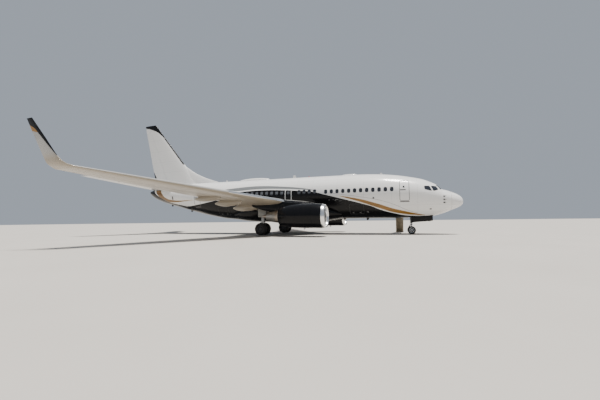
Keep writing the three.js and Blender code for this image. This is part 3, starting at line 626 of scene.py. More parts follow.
def glassPaint():  # tinted panes with a faint waviness
    paint = Paint("window_glass", Coat_Weight=0.8, Coat_Roughness=0.02)
    haze = paint.cloudy((3, 3, 3), 3)
    colour = paint.mix(haze.rising(0.35, 0.7), rgb(0.006, 0.008, 0.014), rgb(0.018, 0.022, 0.032))
    # Aft of station 12 the lower part of each pane turns pale grey: partly drawn blinds, and partly a painted
    # reflection of the pale ground in the lower glass.
    level = paint.line(paint.station, [(12.0, 3.84), (14.0, 3.84), (15.0, 3.93), (24.0, 3.93)])
    blindsAndGroundReflection = (level - paint.z).rising(0, 0.02) * paint.station.rising(11.9, 12.0) * paint.z.rising(3.75, 3.76)
    colour = paint.mix(blindsAndGroundReflection * 0.9, colour, rgb(0.11, 0.115, 0.125))
    return paint.use(Base_Color=colour, Roughness=haze * 0.06 + 0.03, Normal=paint.bump(haze, 0.004))


def filmed(paint, tone, filmTone, film, share, grain, roughness):  # a thin film in patches, over fine grain
    colour = paint.mix(film * share, tone, filmTone)
    fine = paint.bump(paint.cloudy((grain, grain, grain), 2), 0.0012)
    return paint.use(Base_Color=colour, Roughness=film * 0.2 + roughness, Normal=fine)


def rubberPaint(name, tone=shades["rubber"]):  # dusty
    paint = Paint(name)
    dust = paint.cloudy((7, 7, 7), 5, 0.65).rising(0.45, 0.8)
    return filmed(paint, tone, rgb(0.16, 0.145, 0.125), dust, 0.35, 220, 0.66)


def metalPaint(name, colour, roughness, stain=rgb(0.22, 0.19, 0.16), worn=0.25, metallic=1.0):
    paint = Paint(name, Metallic=metallic)
    cloud = paint.cloudy((3.5, 3.5, 3.5), 5, 0.6)
    brushed = paint.cloudy((6, 90, 90), 2)
    tone = paint.mix(cloud.rising(0.42, 0.85) * worn, colour, stain)
    height = cloud * 0.6 + brushed * 0.06
    return paint.use(Base_Color=tone, Roughness=cloud * 0.18 + roughness, Normal=paint.bump(height, 0.003))


def enamel(name, colour, roughness=0.35, dirt=0.35):  # painted castings and tubes, oily in places
    paint = Paint(name, Coat_Weight=0.2, Coat_Roughness=0.15)
    grease = paint.cloudy((6, 6, 3), 6, 0.68).rising(0.5, 0.82)
    return filmed(paint, colour, rgb(0.07, 0.055, 0.04), grease, dirt, 70, roughness)


paints = {
    "hull": hullPaint(),
    "glass": glassPaint(),
    "seal": rubberPaint("window_seal", shades["seal"]),
    "blackGloss": plainGloss("black_gloss", shades["black"], (12.1, 13.9), (1.63,), 0.16, 0.06, dark=True),
    "tyre": rubberPaint("tyre_rubber"),
    "metal": metalPaint("polished_metal", shades["metal"], 0.12, worn=0.12),
    "steel": metalPaint("bare_steel", rgb(0.55, 0.55, 0.56), 0.25),
    "exhaust": metalPaint("hot_section_metal", rgb(0.42, 0.36, 0.30), 0.32, rgb(0.15, 0.10, 0.07), 0.7),
    "titanium": metalPaint("fan_titanium", rgb(0.50, 0.51, 0.53), 0.3, worn=0.1),
    "duct": enamel("duct_lining", rgb(0.40, 0.41, 0.42), 0.4, 0.15),
    "gear": enamel("gear_enamel", rgb(0.52, 0.53, 0.53)),
    "rim": enamel("wheel_enamel", rgb(0.86, 0.87, 0.88), 0.3, 0.1),
    "dark": enamel("dark_bay", rgb(0.035, 0.04, 0.042), 0.6, 0.2),
}
print("finishes mixed")


doorRows = [
    # name, station, width, lower edge, upper edge, corner radius, side
    ("entry_door", 4.93, 0.86, 2.64, 4.47, 0.13, 1), ("service_door", 4.61, 0.76, 2.8, 4.5, 0.12, -1),
    ("aft_entry_door", 24.7, 0.76, 2.72, 4.5, 0.12, 1), ("aft_service_door", 24.7, 0.76, 2.8, 4.45, 0.12, -1),
    ("overwing_exit_left", 14.71, 0.51, 3.13, 4.08, 0.11, 1),
    ("overwing_exit_right", 14.71, 0.51, 3.13, 4.08, 0.11, -1),
    ("cargo_door_forward", 8.55, 1.22, 1.79, 2.64, 0.09, -1),
    ("cargo_door_aft", 21.7, 1.22, 1.88, 2.68, 0.09, -1),
]
doorTrim = {
    "gap": 0.007, "exitThickness": 0.05,
    # bands: width, height above the skin, and how far inside or outside the door's edge; the doors' wide dark
    # band is a painted shadow of the gap round the door
    "exitBand": (0.055, 0.004, 0.012), "cargoBand": (0.014, 0.0035, -0.014),
    "doorShadowBand": (0.034, 0.0035, -0.03), "portHoleBand": (0.014, 0.003),
    # plates: width, tallness and corner radius
    "exitGrip": (0.16, 0.05, 0.02), "cargoGrip": (0.16, 0.07, 0.03), "portHole": (0.15, 0.15, 0.07),
    "handle": (0.46, 0.085, 0.03), "hinge": (0.05, 0.22, 0.02),
}
windowSize = {"width": 0.265, "height": 0.365, "corner": 0.12, "z": 3.80, "rise": 0.06, "pitch": 0.508}
windowFrame = (0.018, 0.0035)  # width, and height above the skin
cabinWindows = ([5.60 + windowSize["pitch"] * i for i in range(12)] + [12.2, 12.7, 13.19, 13.67]
                + [15.35 + windowSize["pitch"] * i for i in range(17)])


def windowOutline(station):
    size = windowSize
    rise = 0.0 if station < 12 else size["rise"]
    return plateAt(station, size["z"] + rise, size["width"], size["height"], size["corner"])


cutDepth = [(0.0, 0.05), (1.0, 0.05), (1.0, -0.02), (0.5, -0.02), (0.0, -0.02)]
paneDepth = [(0.0, -0.012), (0.5, -0.012), (0.97, -0.012), (1.0, -0.018), (0.5, -0.03), (0.0, -0.03)]
screenDepth = [(0.0, -0.006), (0.3, -0.006), (0.6, -0.006), (0.97, -0.006), (1.0, -0.012), (0.5, -0.03),
               (0.0, -0.03)]
plateDepth = [(0.0, 0.003), (0.5, 0.003), (0.96, 0.003), (1.0, 0.0015), (1.0, -0.01), (0.5, -0.01),
              (0.0, -0.01)]


def doorPrism(row, grow=0.0, inner=0.3):
    _, station, width, low, high, corner, side = row
    outline = roundedRectangle(width + 2 * grow, high - low + 2 * grow, corner + grow)
    middle = (low + high) / 2
    corners = [(at(station) + u, side * inner, middle + v) for u, v in outline]
    return prism(corners, (0, side * 2, 0))


def border(outline, width, proud, project, inset=0.0):  # a flat band round an outline
    outline = finer(outline)
    sides = len(outline)

    def place(row, angle):
        i = round((angle % tau) / tau * sides) % sides
        before, after = Vector(outline[i - 1]), Vector(outline[(i + 1) % sides])
        out = Vector(((after - before).y, -(after - before).x)).normalized()
        offset, lift = row
        spot = Vector(outline[i]) + out * (offset + inset)
        return project(spot.x, spot.y, lift)
    return tube([(0, -0.006), (0, proud), (width, proud), (width, -0.006), (0, -0.006)], sides, place, False)


# Fuselage: skin with its openings, and the doors as leaves in them
doorDepth = 0.12
doorInner = hull(bodyStations, -doorDepth)
pocketInner = hull(bodyStations, -doorDepth - 0.01)
solidBody = hull(bodyStations)
noseBay = {"front": 2.35, "rear": 4.3, "half": 0.36, "low": 1.0, "high": 1.9}
wheelBay = {"station": 16.78, "y": 0.78, "low": 0.9, "high": 1.75, "radius": 0.6}
tailpipe = {"station": 31.95, "z": 4.63, "radius": 0.12, "length": 0.45}


def makeFuselage():
    tools = [joined([inlay(windowOutline(station), cutDepth, onSide(side))
                     for _, side in hands for station in cabinWindows])]
    for row in doorRows:
        tools.append(tinted(cut(doorPrism(row, doorTrim["gap"]), pocketInner), 1))
    low = (at(noseBay["rear"]), -noseBay["half"], noseBay["low"])
    high = (at(noseBay["front"]), noseBay["half"], noseBay["high"])
    tools.append(tinted(block(low, high, 0), 1))
    tools += [tinted(wheelWell(side), 1) for _, side in hands]
    inner, outer = (point(tailpipe["station"] + aft, 0, tailpipe["z"]) for aft in (0, tailpipe["length"]))
    tools.append(tinted(rod(inner, outer, tailpipe["radius"], sides=32), 1))
    tools += [inlay(outline, cutDepth, project) for outline, project in cockpitPanes()]
    piece("fuselage_skin", "hull dark", cut(solidBody, *tools), "white_paint", ["fuselage"])


def wheelWell(side):
    x, y = at(wheelBay["station"]), wheelBay["y"] * side
    return rod((x, y, wheelBay["low"]), (x, y, wheelBay["high"]), wheelBay["radius"], sides=64)


def makeWindows():
    outlines = [windowOutline(station) for station in cabinWindows]
    for hand, side in hands:
        panes = [inlay(outline, paneDepth, onSide(side)) for outline in outlines]
        rims = [border(outline, *windowFrame, onSide(side)) for outline in outlines]
        piece(f"cabin_windows_{hand}", "glass frame", layered(panes, rims), "dark_frame")


sidePanes = [
    # corners in station and height: the sliding pane and the pane behind it
    [(1.98, 3.67), (2.36, 3.56), (2.53, 3.99), (2.13, 3.96)],
    [(2.50, 3.57), (3.03, 3.72), (3.06, 3.99), (2.66, 3.985)],
]
frontPane = [(0.05, 3.86), (0.94, 3.69), (0.73, 4.04), (0.05, 4.2)]  # y and height


def cockpitPanes():
    panes = []
    for _, side in hands:
        panes += [(rounded(corners, 0.06), onSide(side)) for corners in sidePanes]
        panes.append((rounded(frontPane, 0.05), lambda y, z, lift, side=side: frontPoint(side, y, z, lift)))
    return panes


def makeCockpit():
    panes = [inlay(outline, screenDepth, project) for outline, project in cockpitPanes()]
    rims = [border(outline, 0.022, 0.005, project) for outline, project in cockpitPanes()]
    for _, side in hands:  # wipers, parked along the lower edge
        foot, tip = frontPoint(side, 0.12, 3.83, 0.03), frontPoint(side, 0.60, 3.82, 0.03)
        rims.append(rod(foot, tip, 0.012, 0.008, 8, 0.002))
        rims.append(rod(frontPoint(side, 0.12, 3.82, -0.02), foot, 0.02, sides=10))
    piece("cockpit_glazing", "glass frame", layered(panes, rims), "dark_frame", ["windscreen_frame"])


def makeRadome():
    strips = []
    for turn in (-150, -100, -60, -20, 20, 60, 100, 150):  # lightning strips

        def place(u, v, angle=radians(turn)):
            station = between(0.22, 0.97, u)
            half = body(station)[2]
            return hullPoint(body, station, angle + (v - 0.5) * 0.008 / half, 0.0015)
        strips.append(sheetOf((16, 2), place, 0.002))
    piece("radome_shell", "hull steel", layered([hull(radomeStations)], strips), "white_paint", ["radome"],
          "radome")


def makeDoors():
    for row in doorRows:
        name, station, width, low, high, corner, side = row
        isExit = name.startswith("overwing")
        depth = hull(bodyStations, -doorTrim["exitThickness"]) if isExit else doorInner
        leaf = carved(doorPrism(row), [("INTERSECT", solidBody), ("DIFFERENCE", depth)])
        edge = plateAt(station, (low + high) / 2, width, high - low, corner)
        project = onSide(side)
        trim = []

        def plates(finish, *rows):
            trim.extend(tinted(inlay(plateAt(*size), plateDepth, project), finish) for size in rows)

        def band(outline, width, proud, inset=0.0):
            trim.append(tinted(border(outline, width, proud, project, inset), 2))
        if isExit:
            pane = windowOutline(station)
            leaf = cut(leaf, inlay(pane, cutDepth, project))
            trim.append(tinted(inlay(pane, paneDepth, project), 1))
            band(pane, *windowFrame)
            plates(2, (station, high - 0.1, *doorTrim["exitGrip"]))
            wide, proud, outside = doorTrim["exitBand"]
            piece(f"{name}_band", "white", border(edge, wide, proud, project, outside), "white_paint")
        elif "cargo" in name:
            plates(2, *((station + spot, low + 0.12, *doorTrim["cargoGrip"]) for spot in (-0.3, 0.3)))
            band(edge, *doorTrim["cargoBand"])
        else:
            port = (station + 0.04, 3.96, *doorTrim["portHole"])
            plates(1, port)
            band(plateAt(*port), *doorTrim["portHoleBand"])
            plates(2, (station + 0.12, 3.71, *doorTrim["handle"]),
                   (station, low - 0.07, width - 0.02, 0.07, 0.012))
            # a wide dark band just inside the edge: painted shadow of the gap round the door
            band(edge, *doorTrim["doorShadowBand"])
            hinges = station - width / 2 - 0.035
            plates(0, *((hinges, level, *doorTrim["hinge"]) for level in (low + 0.3, high - 0.3)))
        piece(f"{name}_leaf", "hull glass frame", joined([leaf] + trim), "white_paint", [name],
              name if isExit else "airframe")


# Wing-to-body fairing
fairing = Lines([
    # station, top, bottom, half width, widest height
    (9.9, 2.25, 1.43, 1.15, 1.8), (10.7, 2.56, 1.3, 1.7, 1.9), (11.6, 2.9, 1.21, 1.96, 2.05),
    (13.2, 3.08, 1.17, 2.06, 2.15), (18.2, 3.02, 1.17, 2.06, 2.15), (19.4, 2.76, 1.25, 1.93, 2.05),
    (20.5, 2.43, 1.39, 1.45, 1.9),
])


def makeFairing():
    shape = cut(hull(spread(9.9, 20.5, 60), 0.0, fairing, 72),
                *(tinted(wheelWell(side), 1) for _, side in hands))
    piece("belly_fairing_skin", "belly dark", shape, "black_paint", ["belly_fairing"])
    parts = []
    for _, side in hands:  # ram-air inlets ahead of the wing root, and louvred outlets behind them
        for station, z, width, tall in ((11.3, 1.62, 0.42, 0.2), (12.4, 1.5, 0.5, 0.16)):
            outline = plateAt(station, z, width, tall, 0.05)
            parts.append(inlay(outline, plateDepth, fairingSide(side)))
    piece("air_scoops", "dark", joined(parts), "dark_frame")


def fairingSide(side):
    def project(station, z, lift):
        half, widest, reach = reachAt(fairing, station, z)
        y = widthAt(station, z, fairing)
        out = Vector((0, y / half ** 2, (z - widest) / reach ** 2)).normalized()
        return point(station, side * (y + out.y * lift), z + out.z * lift)
    return project


crownZ = 5.405
crownBlisters = [
    # name, front station, rear station, rise above the crown, half width
    ("crown_blister_front", 8.6, 10.05, 0.11, 0.26), ("crown_blister_rear", 17.3, 20.7, 0.235, 0.43),
]


def makeCrown():
    for name, front, rear, height, half in crownBlisters:
        middle, reach = (front + rear) / 2, (rear - front) / 2

        def place(turn, angle, middle=middle, reach=reach, height=height, half=half):
            along = -cos(turn)
            lean = along - 0.12 * (1 - along ** 2)  # fuller ahead, with a longer tail
            girth = sin(turn) ** 0.9
            return point(middle + reach * lean, half * girth * sin(angle),
                         crownZ + height * girth * cos(angle))
        blister = tube(tipToTip(40), 40, place)
        piece(name, "white", blister, "white_paint")


paints["white"] = plainGloss("white_gloss", shades["white"])
paints["belly"] = plainGloss("belly_gloss", shades["black"], (11.6, 13.4, 15.4, 18.0, 19.4), (1.6, 2.4),
                             0.24, 0.18, dark=True)
paints["frame"] = rubberPaint("window_frame", rgb(0.07, 0.07, 0.075))
for make in (makeFuselage, makeWindows, makeCockpit, makeRadome, makeDoors, makeFairing, makeCrown):
    make()
print("fuselage made")


# Aerofoils: a smooth symmetric thickness on a shallow arched line
def thicknessAt(share, ratio):
    tail = 0.126 * share + 0.3516 * share ** 2 - 0.2843 * share ** 3 + 0.1015 * share ** 4
    return 5 * ratio * (0.2969 * sqrt(share) - tail) + 0.0015


def foilPoint(section, share, side, lift=0.0):
    # section: station of the leading edge, y, z, chord, thickness ratio, camber, drop, cant in degrees
    lead, y, z, chord, ratio, camber, drop, cant = section
    rise = 4 * camber * share * (1 - share) * chord + side * (thicknessAt(share, ratio) * chord + lift)
    lean = radians(cant)
    return point(lead + share * chord, y - rise * sin(lean), z + rise * cos(lean) - drop * share * chord)


def foilSkin(sections, sides=72, place=foilPoint):
    return tube(sections, sides, lambda section, angle: place(
        section, (1 + cos(angle)) / 2, 1 if sin(angle) >= 0 else -1))


def sectionBetween(a, b, share):
    return tuple(between(p, q, share) for p, q in zip(a, b))


kinkY, wingletY = 5.7, 17.0
wingLine = {"lead": 11.5, "sweep": 0.5228, "height": 2.36, "rise": 0.1012, "kinkChord": 4.12}
finSweep = 0.8309


def wingLead(y):
    return y * wingLine["sweep"] + wingLine["lead"]


def wingHeight(y):
    return y * wingLine["rise"] + wingLine["height"]


wingSections = [
    (11.35, 1.3, 2.48, 7.5, 0.125, 0.004, 0.02, 0), (12.15, 2.5, 2.605, 6.63, 0.125, 0.006, 0.022, 0),
    (wingLead(4.1), 4.1, wingHeight(4.1), 4.99, 0.125, 0.01, 0.027, 0),
    (wingLead(kinkY), kinkY, wingHeight(kinkY), wingLine["kinkChord"], 0.125, 0.012, 0.03, 0),
    (wingLead(wingletY), wingletY, wingHeight(wingletY), 1.43, 0.108, 0.01, 0.045, 0),
]


def wingAt(y):
    k = max(i for i in range(4) if wingSections[i][1] <= max(y, 1.3))
    a, b = wingSections[k], wingSections[k + 1]
    return sectionBetween(a, b, (y - a[1]) / (b[1] - a[1]))


wingletRows = Lines([
    # step, station of the leading edge, y, z, chord, thickness ratio, camber, drop, cant
    (0, wingLead(wingletY), wingletY, wingHeight(wingletY), 1.43, 0.108, 0.01, 0.045, 0),
    (1, 20.55, 17.2, 4.14, 1.28, 0.1, 0, 0.01, 24), (2, 20.74, 17.37, 4.3, 1.12, 0.1, 0, 0.01, 50),
    (3, 20.98, 17.46, 4.58, 0.96, 0.1, 0, 0.01, 70), (4, 21.55, 17.67, 5.48, 0.69, 0.1, 0, 0.01, 76),
    (5, 22.19, 17.88, 6.44, 0.38, 0.1, 0, 0.01, 78),
])
tailRoot = (27.76, 0.35, 4.88, 3.72, 0.1, 0, 0, 0)
tailTip = (32.56, 7.175, 5.725, 1.07, 0.09, 0, 0, 0)
finFoot = (25.45, 0, 5.0, 5.95, 0.09, 0, 0, 0)
finTip = (31.74, 0, 12.57, 1.54, 0.09, 0, 0, 0)


def tailAt(y):
    return sectionBetween(tailRoot, tailTip, (y - tailRoot[1]) / (tailTip[1] - tailRoot[1]))


def finAt(z):
    return sectionBetween(finFoot, finTip, (z - finFoot[2]) / (finTip[2] - finFoot[2]))


def finPoint(section, share, side):
    lead, _, z, chord, ratio = section[:5]
    return point(lead + share * chord, side * thicknessAt(share, ratio) * chord, z)


def planSlab(outline, low, high):
    return prism([(at(station), y, low) for station, y in outline], (0, 0, high - low))


def sideSlab(outline, low, high):
    return prism([(at(station), low, z) for station, z in outline], (0, high - low, 0))


def hinged(skin, ends, hinge, zone, place=foilPoint, endGap=0.026):
    # a surface behind a hinge line, with a round nose, and the bay that it swings in
    marks = []
    for section in ends:
        top, low = place(section, hinge, 1), place(section, hinge, -1)
        marks.append(((top + low) / 2, (top - low).length / 2))
    run = (marks[1][0] - marks[0][0]).normalized()

    def nose(extra):
        return rod(marks[0][0] - run * 0.2, marks[1][0] + run * 0.2, marks[0][1] + extra, marks[1][1] + extra,
                   40, 0.0001)
    behind = carved(skin, [("INTERSECT", zone(0.0, True))])
    leaf = carved(carved(nose(-0.001), [("INTERSECT", zone(0.0, False))]), [("UNION", behind)])
    bay = [zone(endGap, True), carved(nose(0.018), [("INTERSECT", zone(endGap, False))])]
    return leaf, [tinted(tool, 1) for tool in bay]


aileronY, aileronHinge = (12.2, 16.3), 0.74
flapRows = [("flap_inboard", (2.25, 5.5), (1.4, 1.25)), ("flap_outboard", (5.7, 11.9), (1.25, 0.64))]


def chordZone(sectionAt, ends, hinge, reach, ahead, levels, slab=planSlab):
    edge = [sectionAt(end)[0] + hinge * sectionAt(end)[3] for end in ends]

    def zone(grow, behindHinge):
        front = 0 if behindHinge else -ahead
        low, high = ends[0] - grow, ends[1] + grow
        return slab([(edge[0] + front, low), (edge[1] + front, high), (edge[1] + reach, high),
                     (edge[0] + reach, low)], *levels)
    return zone


def trailingEdge(y):
    return wingAt(y)[0] + wingAt(y)[3]


def flapZone(ends, depth, grow):
    low, high = ends[0] - grow, ends[1] + grow
    inner, outer = (trailingEdge(end) for end in ends)
    return planSlab([(inner - depth[0] - grow, low), (outer - depth[1] - grow, high), (outer + 0.4, high),
                     (inner + 0.4, low)], 1.8, 4.5)


def foilSheet(sectionAt, ends, shares, lift, thickness, cells):
    # a thin panel on an aerofoil: shares run from a (above) to b; negative shares are on the lower side
    def corner(u, v):
        y, share = between(ends[0], ends[1], u), between(shares[0], shares[1], v)
        return foilPoint(sectionAt(y), min(share * share, 1), 1 if share >= 0 else -1, lift)
    return sheetOf(cells, corner, thickness)


canoeRows = [
    # y, station of the middle, height, half length, half height, half width
    (4.6, 17.6, 2.44, 1.25, 0.32, 0.2), (6.9, 17.95, 2.73, 1.2, 0.29, 0.185),
    (8.7, 18.6, 2.98, 1.13, 0.24, 0.16),
]


def canoe(row):
    y, middle, z, reach, tall, wide = row

    def place(turn, angle):
        along = -cos(turn)
        girth = sin(turn) ** (0.75 if along < 0 else 1.6)
        spot = Vector((-along * reach, wide * girth * sin(angle), tall * girth * cos(angle)))
        return point(middle, y, z) + Matrix.Rotation(-0.04, 3, "Y") @ spot
    return tube(tipToTip(32), 28, place)


def wingPaint(name, top, low, hingeHighlight=0):
    # grey above and below, with fuel-tank panel joints, and a pale strip ahead of the hinge line: a painted
    # highlight of the hinge gap catching the light
    paint = Paint(name, Coat_Weight=0.25, Coat_Roughness=0.1)
    colour = paint.mix(paint.cloudy((0.5, 0.35, 0.5), 4).rising(0.3, 0.75) * 0.35, top, low)
    span = abs(paint.y)
    chord = wingLine["kinkChord"] - (span - kinkY) * 0.238
    share = (paint.station - wingLead(span)) / chord
    strip = share.near(0.715, 0.014, 0.01) * span.rising(8.5, 11.0) * hingeHighlight
    colour = paint.mix(strip, colour, rgb(0.75, 0.74, 0.70))
    outside = span > 3.0
    ribs = (3.4, 5.72, 7.3, 8.9, 10.5, 12.15, 13.6, 15.0, 16.4)
    marks = paint.highest(*(share.near(spar, 0.0008, 0.0012) * outside for spar in (0.16, 0.62)),
                          *(span.near(y, 0.003, 0.004) for y in ribs))
    return skinFinish(paint, colour, marks, 0.3, 0.12)


# downward faces take the warm tan of the underside: painted bounce light from the pale floor
def underside(shape):  # faces that look down take the piece's third finish
    shape.normal_update()
    for face in shape.faces:
        if face.material_index == 0 and face.normal.z < -0.05:
            face.material_index = 2
    return shape


slatCells, spoilerCells, edgeCells = (14, 26), (6, 8), (6, 24)
wingSheets = [
    # name, finish, slot, lift, thickness, and rows of: ends along the span, shares of the chord, cells
    # (a share is the root of the real one, and below the wing it is negative)
    # black sheet on the inboard leading edge: a painted reflection of the black belly on that grey edge
    ("inner_leading_edge", "blackGloss", "black_paint", 0.003, 0.005,
     [(ends, (0.25, -0.2), edgeCells) for ends in ((1.34, 2.5), (2.5, 4.1), (4.1, 4.78))]),
    ("slats_inner", "metal", "polished_metal", 0.002, 0.004,
     [((5.72, 7.5), (0.34, -0.04), slatCells), ((7.53, 9.35), (0.34, -0.04), slatCells),
      ((4.8, 5.69), (0.2, -0.05), (8, 14))]),
    ("slats_outer", "wing", "wing_grey", 0.002, 0.004,
     [(ends, (0.34, -0.03), slatCells) for ends in ((9.38, 11.8), (11.83, 14.3), (14.33, 16.75))]),
    ("spoilers", "wing", "wing_grey", 0.002, 0.005,
     [((2.45, 3.95), (0.80, 0.865), spoilerCells), ((4.0, 5.4), (0.765, 0.83), spoilerCells)]
     + [(ends, (0.765, 0.825), spoilerCells)
        for ends in ((5.8, 7.1), (7.13, 8.45), (8.48, 9.8), (9.83, 11.2))]),
]
wickSpans = (13.0, 14.0, 15.0, 15.9, 16.6)


def makeWings():
    kinks = [row[1] for row in wingSections[1:4]]
    skin = foilSkin([wingAt(y) for y in sorted(spread(1.3, wingletY, 60) + kinks)])
    sections = [wingAt(y) for y in aileronY]
    zone = chordZone(wingAt, aileronY, aileronHinge, 1.5, 0.6, (2.5, 5.5))
    aileron, bay = hinged(skin, sections, aileronHinge, zone)
    bay += [tinted(flapZone(ends, depth, 0.006), 1) for _, ends, depth in flapRows]
    finish = "wing dark wingUnder"
    pair("wing_skin", finish, underside(cut(skin, *bay)), "wing_grey", ["wing"])
    pair("aileron_skin", finish, underside(aileron), "wing_grey", ["aileron"], "aileron")
    for name, ends, depth in flapRows:
        flap = carved(skin, [("INTERSECT", flapZone(ends, depth, 0.0))])
        pair(f"{name}_skin", finish, underside(flap), "wing_grey", [name])
    winglet = foilSkin([wingletRows(step) for step in spread(0, 5, 50)], 56)
    pair("winglet_skin", "winglet", winglet, "white_paint", ["winglet"])
    pair("flap_track_fairings", "canoe", joined([canoe(row) for row in canoeRows]), "wing_grey")
    pair("jacking_pad", "steel", rod((at(15.7), 3.9, 2.3), (at(15.7), 3.9, 2.6), 0.06), "wing_grey")
    for name, finish, slot, lift, thickness, rows in wingSheets:
        sheets = [foilSheet(wingAt, ends, shares, lift, thickness, cells) for ends, shares, cells in rows]
        pair(name, finish, joined(sheets), slot)
    wicks = [rod(foilPoint(wingAt(y), 1, -1), foilPoint(wingAt(y), 1, -1) + Vector((-0.11, 0, -0.01)), 0.004,
                 0.002, 6, 0.001) for y in wickSpans]
    pair("static_wicks_wing", "seal", wicks[-1], "dark_frame")
    pair("static_wicks_aileron", "seal", joined(wicks[:-1]), "dark_frame", body="aileron")


rudderZ, rudderHinge = (5.85, 12.23), 0.68
elevatorY, elevatorHinge = (1.15, 6.95), 0.7
dorsal = Lines([
    # station, ridge height, half width
    (22.9, 5.38, 0.03), (23.1, 5.43, 0.04), (23.9, 5.67, 0.09), (24.87, 6.0, 0.14), (25.6, 6.31, 0.17),
    (26.11, 6.56, 0.19), (27.1, 7.18, 0.23), (28.2, 7.95, 0.24),
])


def makeTail():
    fin = foilSkin([finAt(z) for z in spread(finFoot[2], finTip[2], 40)], 64, finPoint)
    zone = chordZone(finAt, rudderZ, rudderHinge, 3, 0.6, (-0.9, 0.9), sideSlab)
    rudder, bay = hinged(fin, [finAt(z) for z in rudderZ], rudderHinge, zone, finPoint, 0.042)

    def ridge(station, angle):
        top, half = dorsal(station)
        level = (1 + cos(angle)) / 2
        return point(station, half * sin(angle) * (1 - 0.5 * level), between(5.1, top, level))
    dorsalFin = tube(spread(22.9, 28.2, 40), 32, ridge)
    piece("fin_skin", "tail dark", joined([cut(fin, *bay), dorsalFin]), "white_paint", ["fin"])
    piece("rudder_skin", "tail dark", rudder, "white_paint", ["rudder"], "rudder")
    skin = foilSkin([tailAt(y) for y in spread(tailRoot[1], tailTip[1], 30)], 60)
    zone = chordZone(tailAt, elevatorY, elevatorHinge, 2.0, 0.5, (4, 7))
    elevator, bay = hinged(skin, [tailAt(y) for y in elevatorY], elevatorHinge, zone)
    finish = "stabiliser dark"
    pair("stabiliser_skin", finish, cut(skin, *bay), "wing_grey", ["stabiliser"])
    pair("elevator_skin", finish, elevator, "wing_grey", ["elevator"], "elevator")
    edge = foilSheet(tailAt, (1.6, 7.1), (0.2, -0.2), 0.002, 0.003, (20, 16))
    pair("stabiliser_edge", "metal", edge, "polished_metal")


def wingletPaint():
    # black tip, a gold patch below it and a black line down the leading edge
    paint = Paint("winglet_gloss", Coat_Roughness=0.05, Specular_IOR_Level=0.2)
    back = paint.station - (22.19 - (6.44 - paint.z) * 0.667)
    dark = paint.z - 6.08 + (22.4 - paint.station) * 0.55
    gilt = paint.z - 5.72 - (paint.station - 22.0) * 0.25
    colour = paint.mix(paint.z.rising(4.4, 4.75), shades["under"], rgb(0.38, 0.375, 0.36))
    colour = paint.mix(gilt.rising(0, 0.01), colour, shades["gold"])
    line = ((paint.z - 4.55) * 0.16 + 0.05 - back).rising(0, 0.01) * paint.z.rising(4.55, 4.57)
    black = paint.highest(dark.rising(0, 0.01), line)
    paint.use(Coat_Weight=0.5 - black * 0.47)
    return skinFinish(paint, paint.mix(black, colour, shades["black"]), 0.0, 0.25, 0.05)


def tailPaint():
    # white, with a black cap that runs down the leading edge as a line, and a wedge at the rudder's foot
    paint = Paint("tail_gloss", Coat_Roughness=0.05, Specular_IOR_Level=0.2)
    back = paint.station - ((paint.z - finFoot[2]) * finSweep + finFoot[0])
    cap = paint.line(paint.station, [(30.4, 11.0), (30.66, 11.1), (31.3, 11.6), (32.38, 12.1), (33.09, 12.31),
                                     (33.6, 12.36)])
    edge = (1 - back.rising(0.15, 0.165)) * paint.z.rising(7.6, 7.7)
    behind = (paint.station - (31.46 + (paint.z - 6.35) * 0.6)).rising(0, fade)
    wedge = behind * (1 - paint.z.rising(7.3, 7.35)) * paint.z.rising(6.3, 6.31)
    black = paint.highest((paint.z - cap).rising(0, fade), edge, wedge)
    marks = paint.highest(*(paint.z.near(level, 0.003, 0.003) for level in (6.9, 8.1, 9.4, 10.7, 11.9)))
    paint.use(Coat_Weight=0.5 - black * 0.47)
    return skinFinish(paint, paint.mix(black, shades["white"], shades["black"]), marks)


paints["wing"] = wingPaint("wing_enamel", shades["wing"], rgb(0.44, 0.43, 0.41))
# the underside and the canoes take the warm tan: painted bounce light from the pale floor on grey paint
paints["wingUnder"] = wingPaint("wing_under_enamel_bounce_tint", shades["under"], rgb(0.29, 0.25, 0.19), 0.6)
paints["canoe"] = plainGloss("fairing_gloss_bounce_tint", shades["under"], (17.2, 18.6), (), 0.3, 0.2)
paints["winglet"] = wingletPaint()
paints["tail"] = tailPaint()
paints["stabiliser"] = plainGloss("stabiliser_gloss", rgb(0.56, 0.56, 0.55), (30.2, 31.6), (), 0.28, 0.12)
makeWings()
makeTail()
print("wings and tail made")


# Engines: ring-shaped cowls about a duct, a fan with a spinner, and a core with its nozzle and cone.
# Places along an engine are measured behind its inlet.
engine = {"y": 4.83, "z": 1.63, "inlet": 10.48, "lip": 0.27, "fanCowl": 1.01, "sleeve": 2.37, "end": 3.8,
          "flatFoot": 0.965, "droop": 0.05, "fan": 1.15, "fanRadius": 0.765, "blades": 24, "vanes": 1.8}
cowlLine = Lines([
    # distance behind the inlet, radius
    (0, 0.842), (0.025, 0.885), (0.09, 0.92), (0.27, 0.962), (0.85, 0.99), (1.55, 0.998), (2.25, 0.982),
    (2.95, 0.93), (3.8, 0.8),
], sqrt)
ductLine = Lines([
    (0, 0.842), (0.025, 0.8), (0.11, 0.765), (0.27, 0.745), (0.65, 0.758), (1.05, 0.785), (1.95, 0.79),
    (2.95, 0.77), (3.8, 0.762),
], sqrt)


def enginePoint(behind, radius, angle, foot=1.0):
    low = foot if cos(angle) < 0 else 1
    droop = engine["droop"] * max(0, 1 - behind)
    return point(engine["inlet"] + behind, engine["y"] + radius * sin(angle),
                 engine["z"] - droop + radius * low * cos(angle))


def cowlPoint(row, angle):
    return enginePoint(row[0], row[1], angle, row[2])


def cowlRows(places, line, foot=1.0, grow=0.0):
    return [(behind, line(behind)[0] + grow, foot) for behind in places]


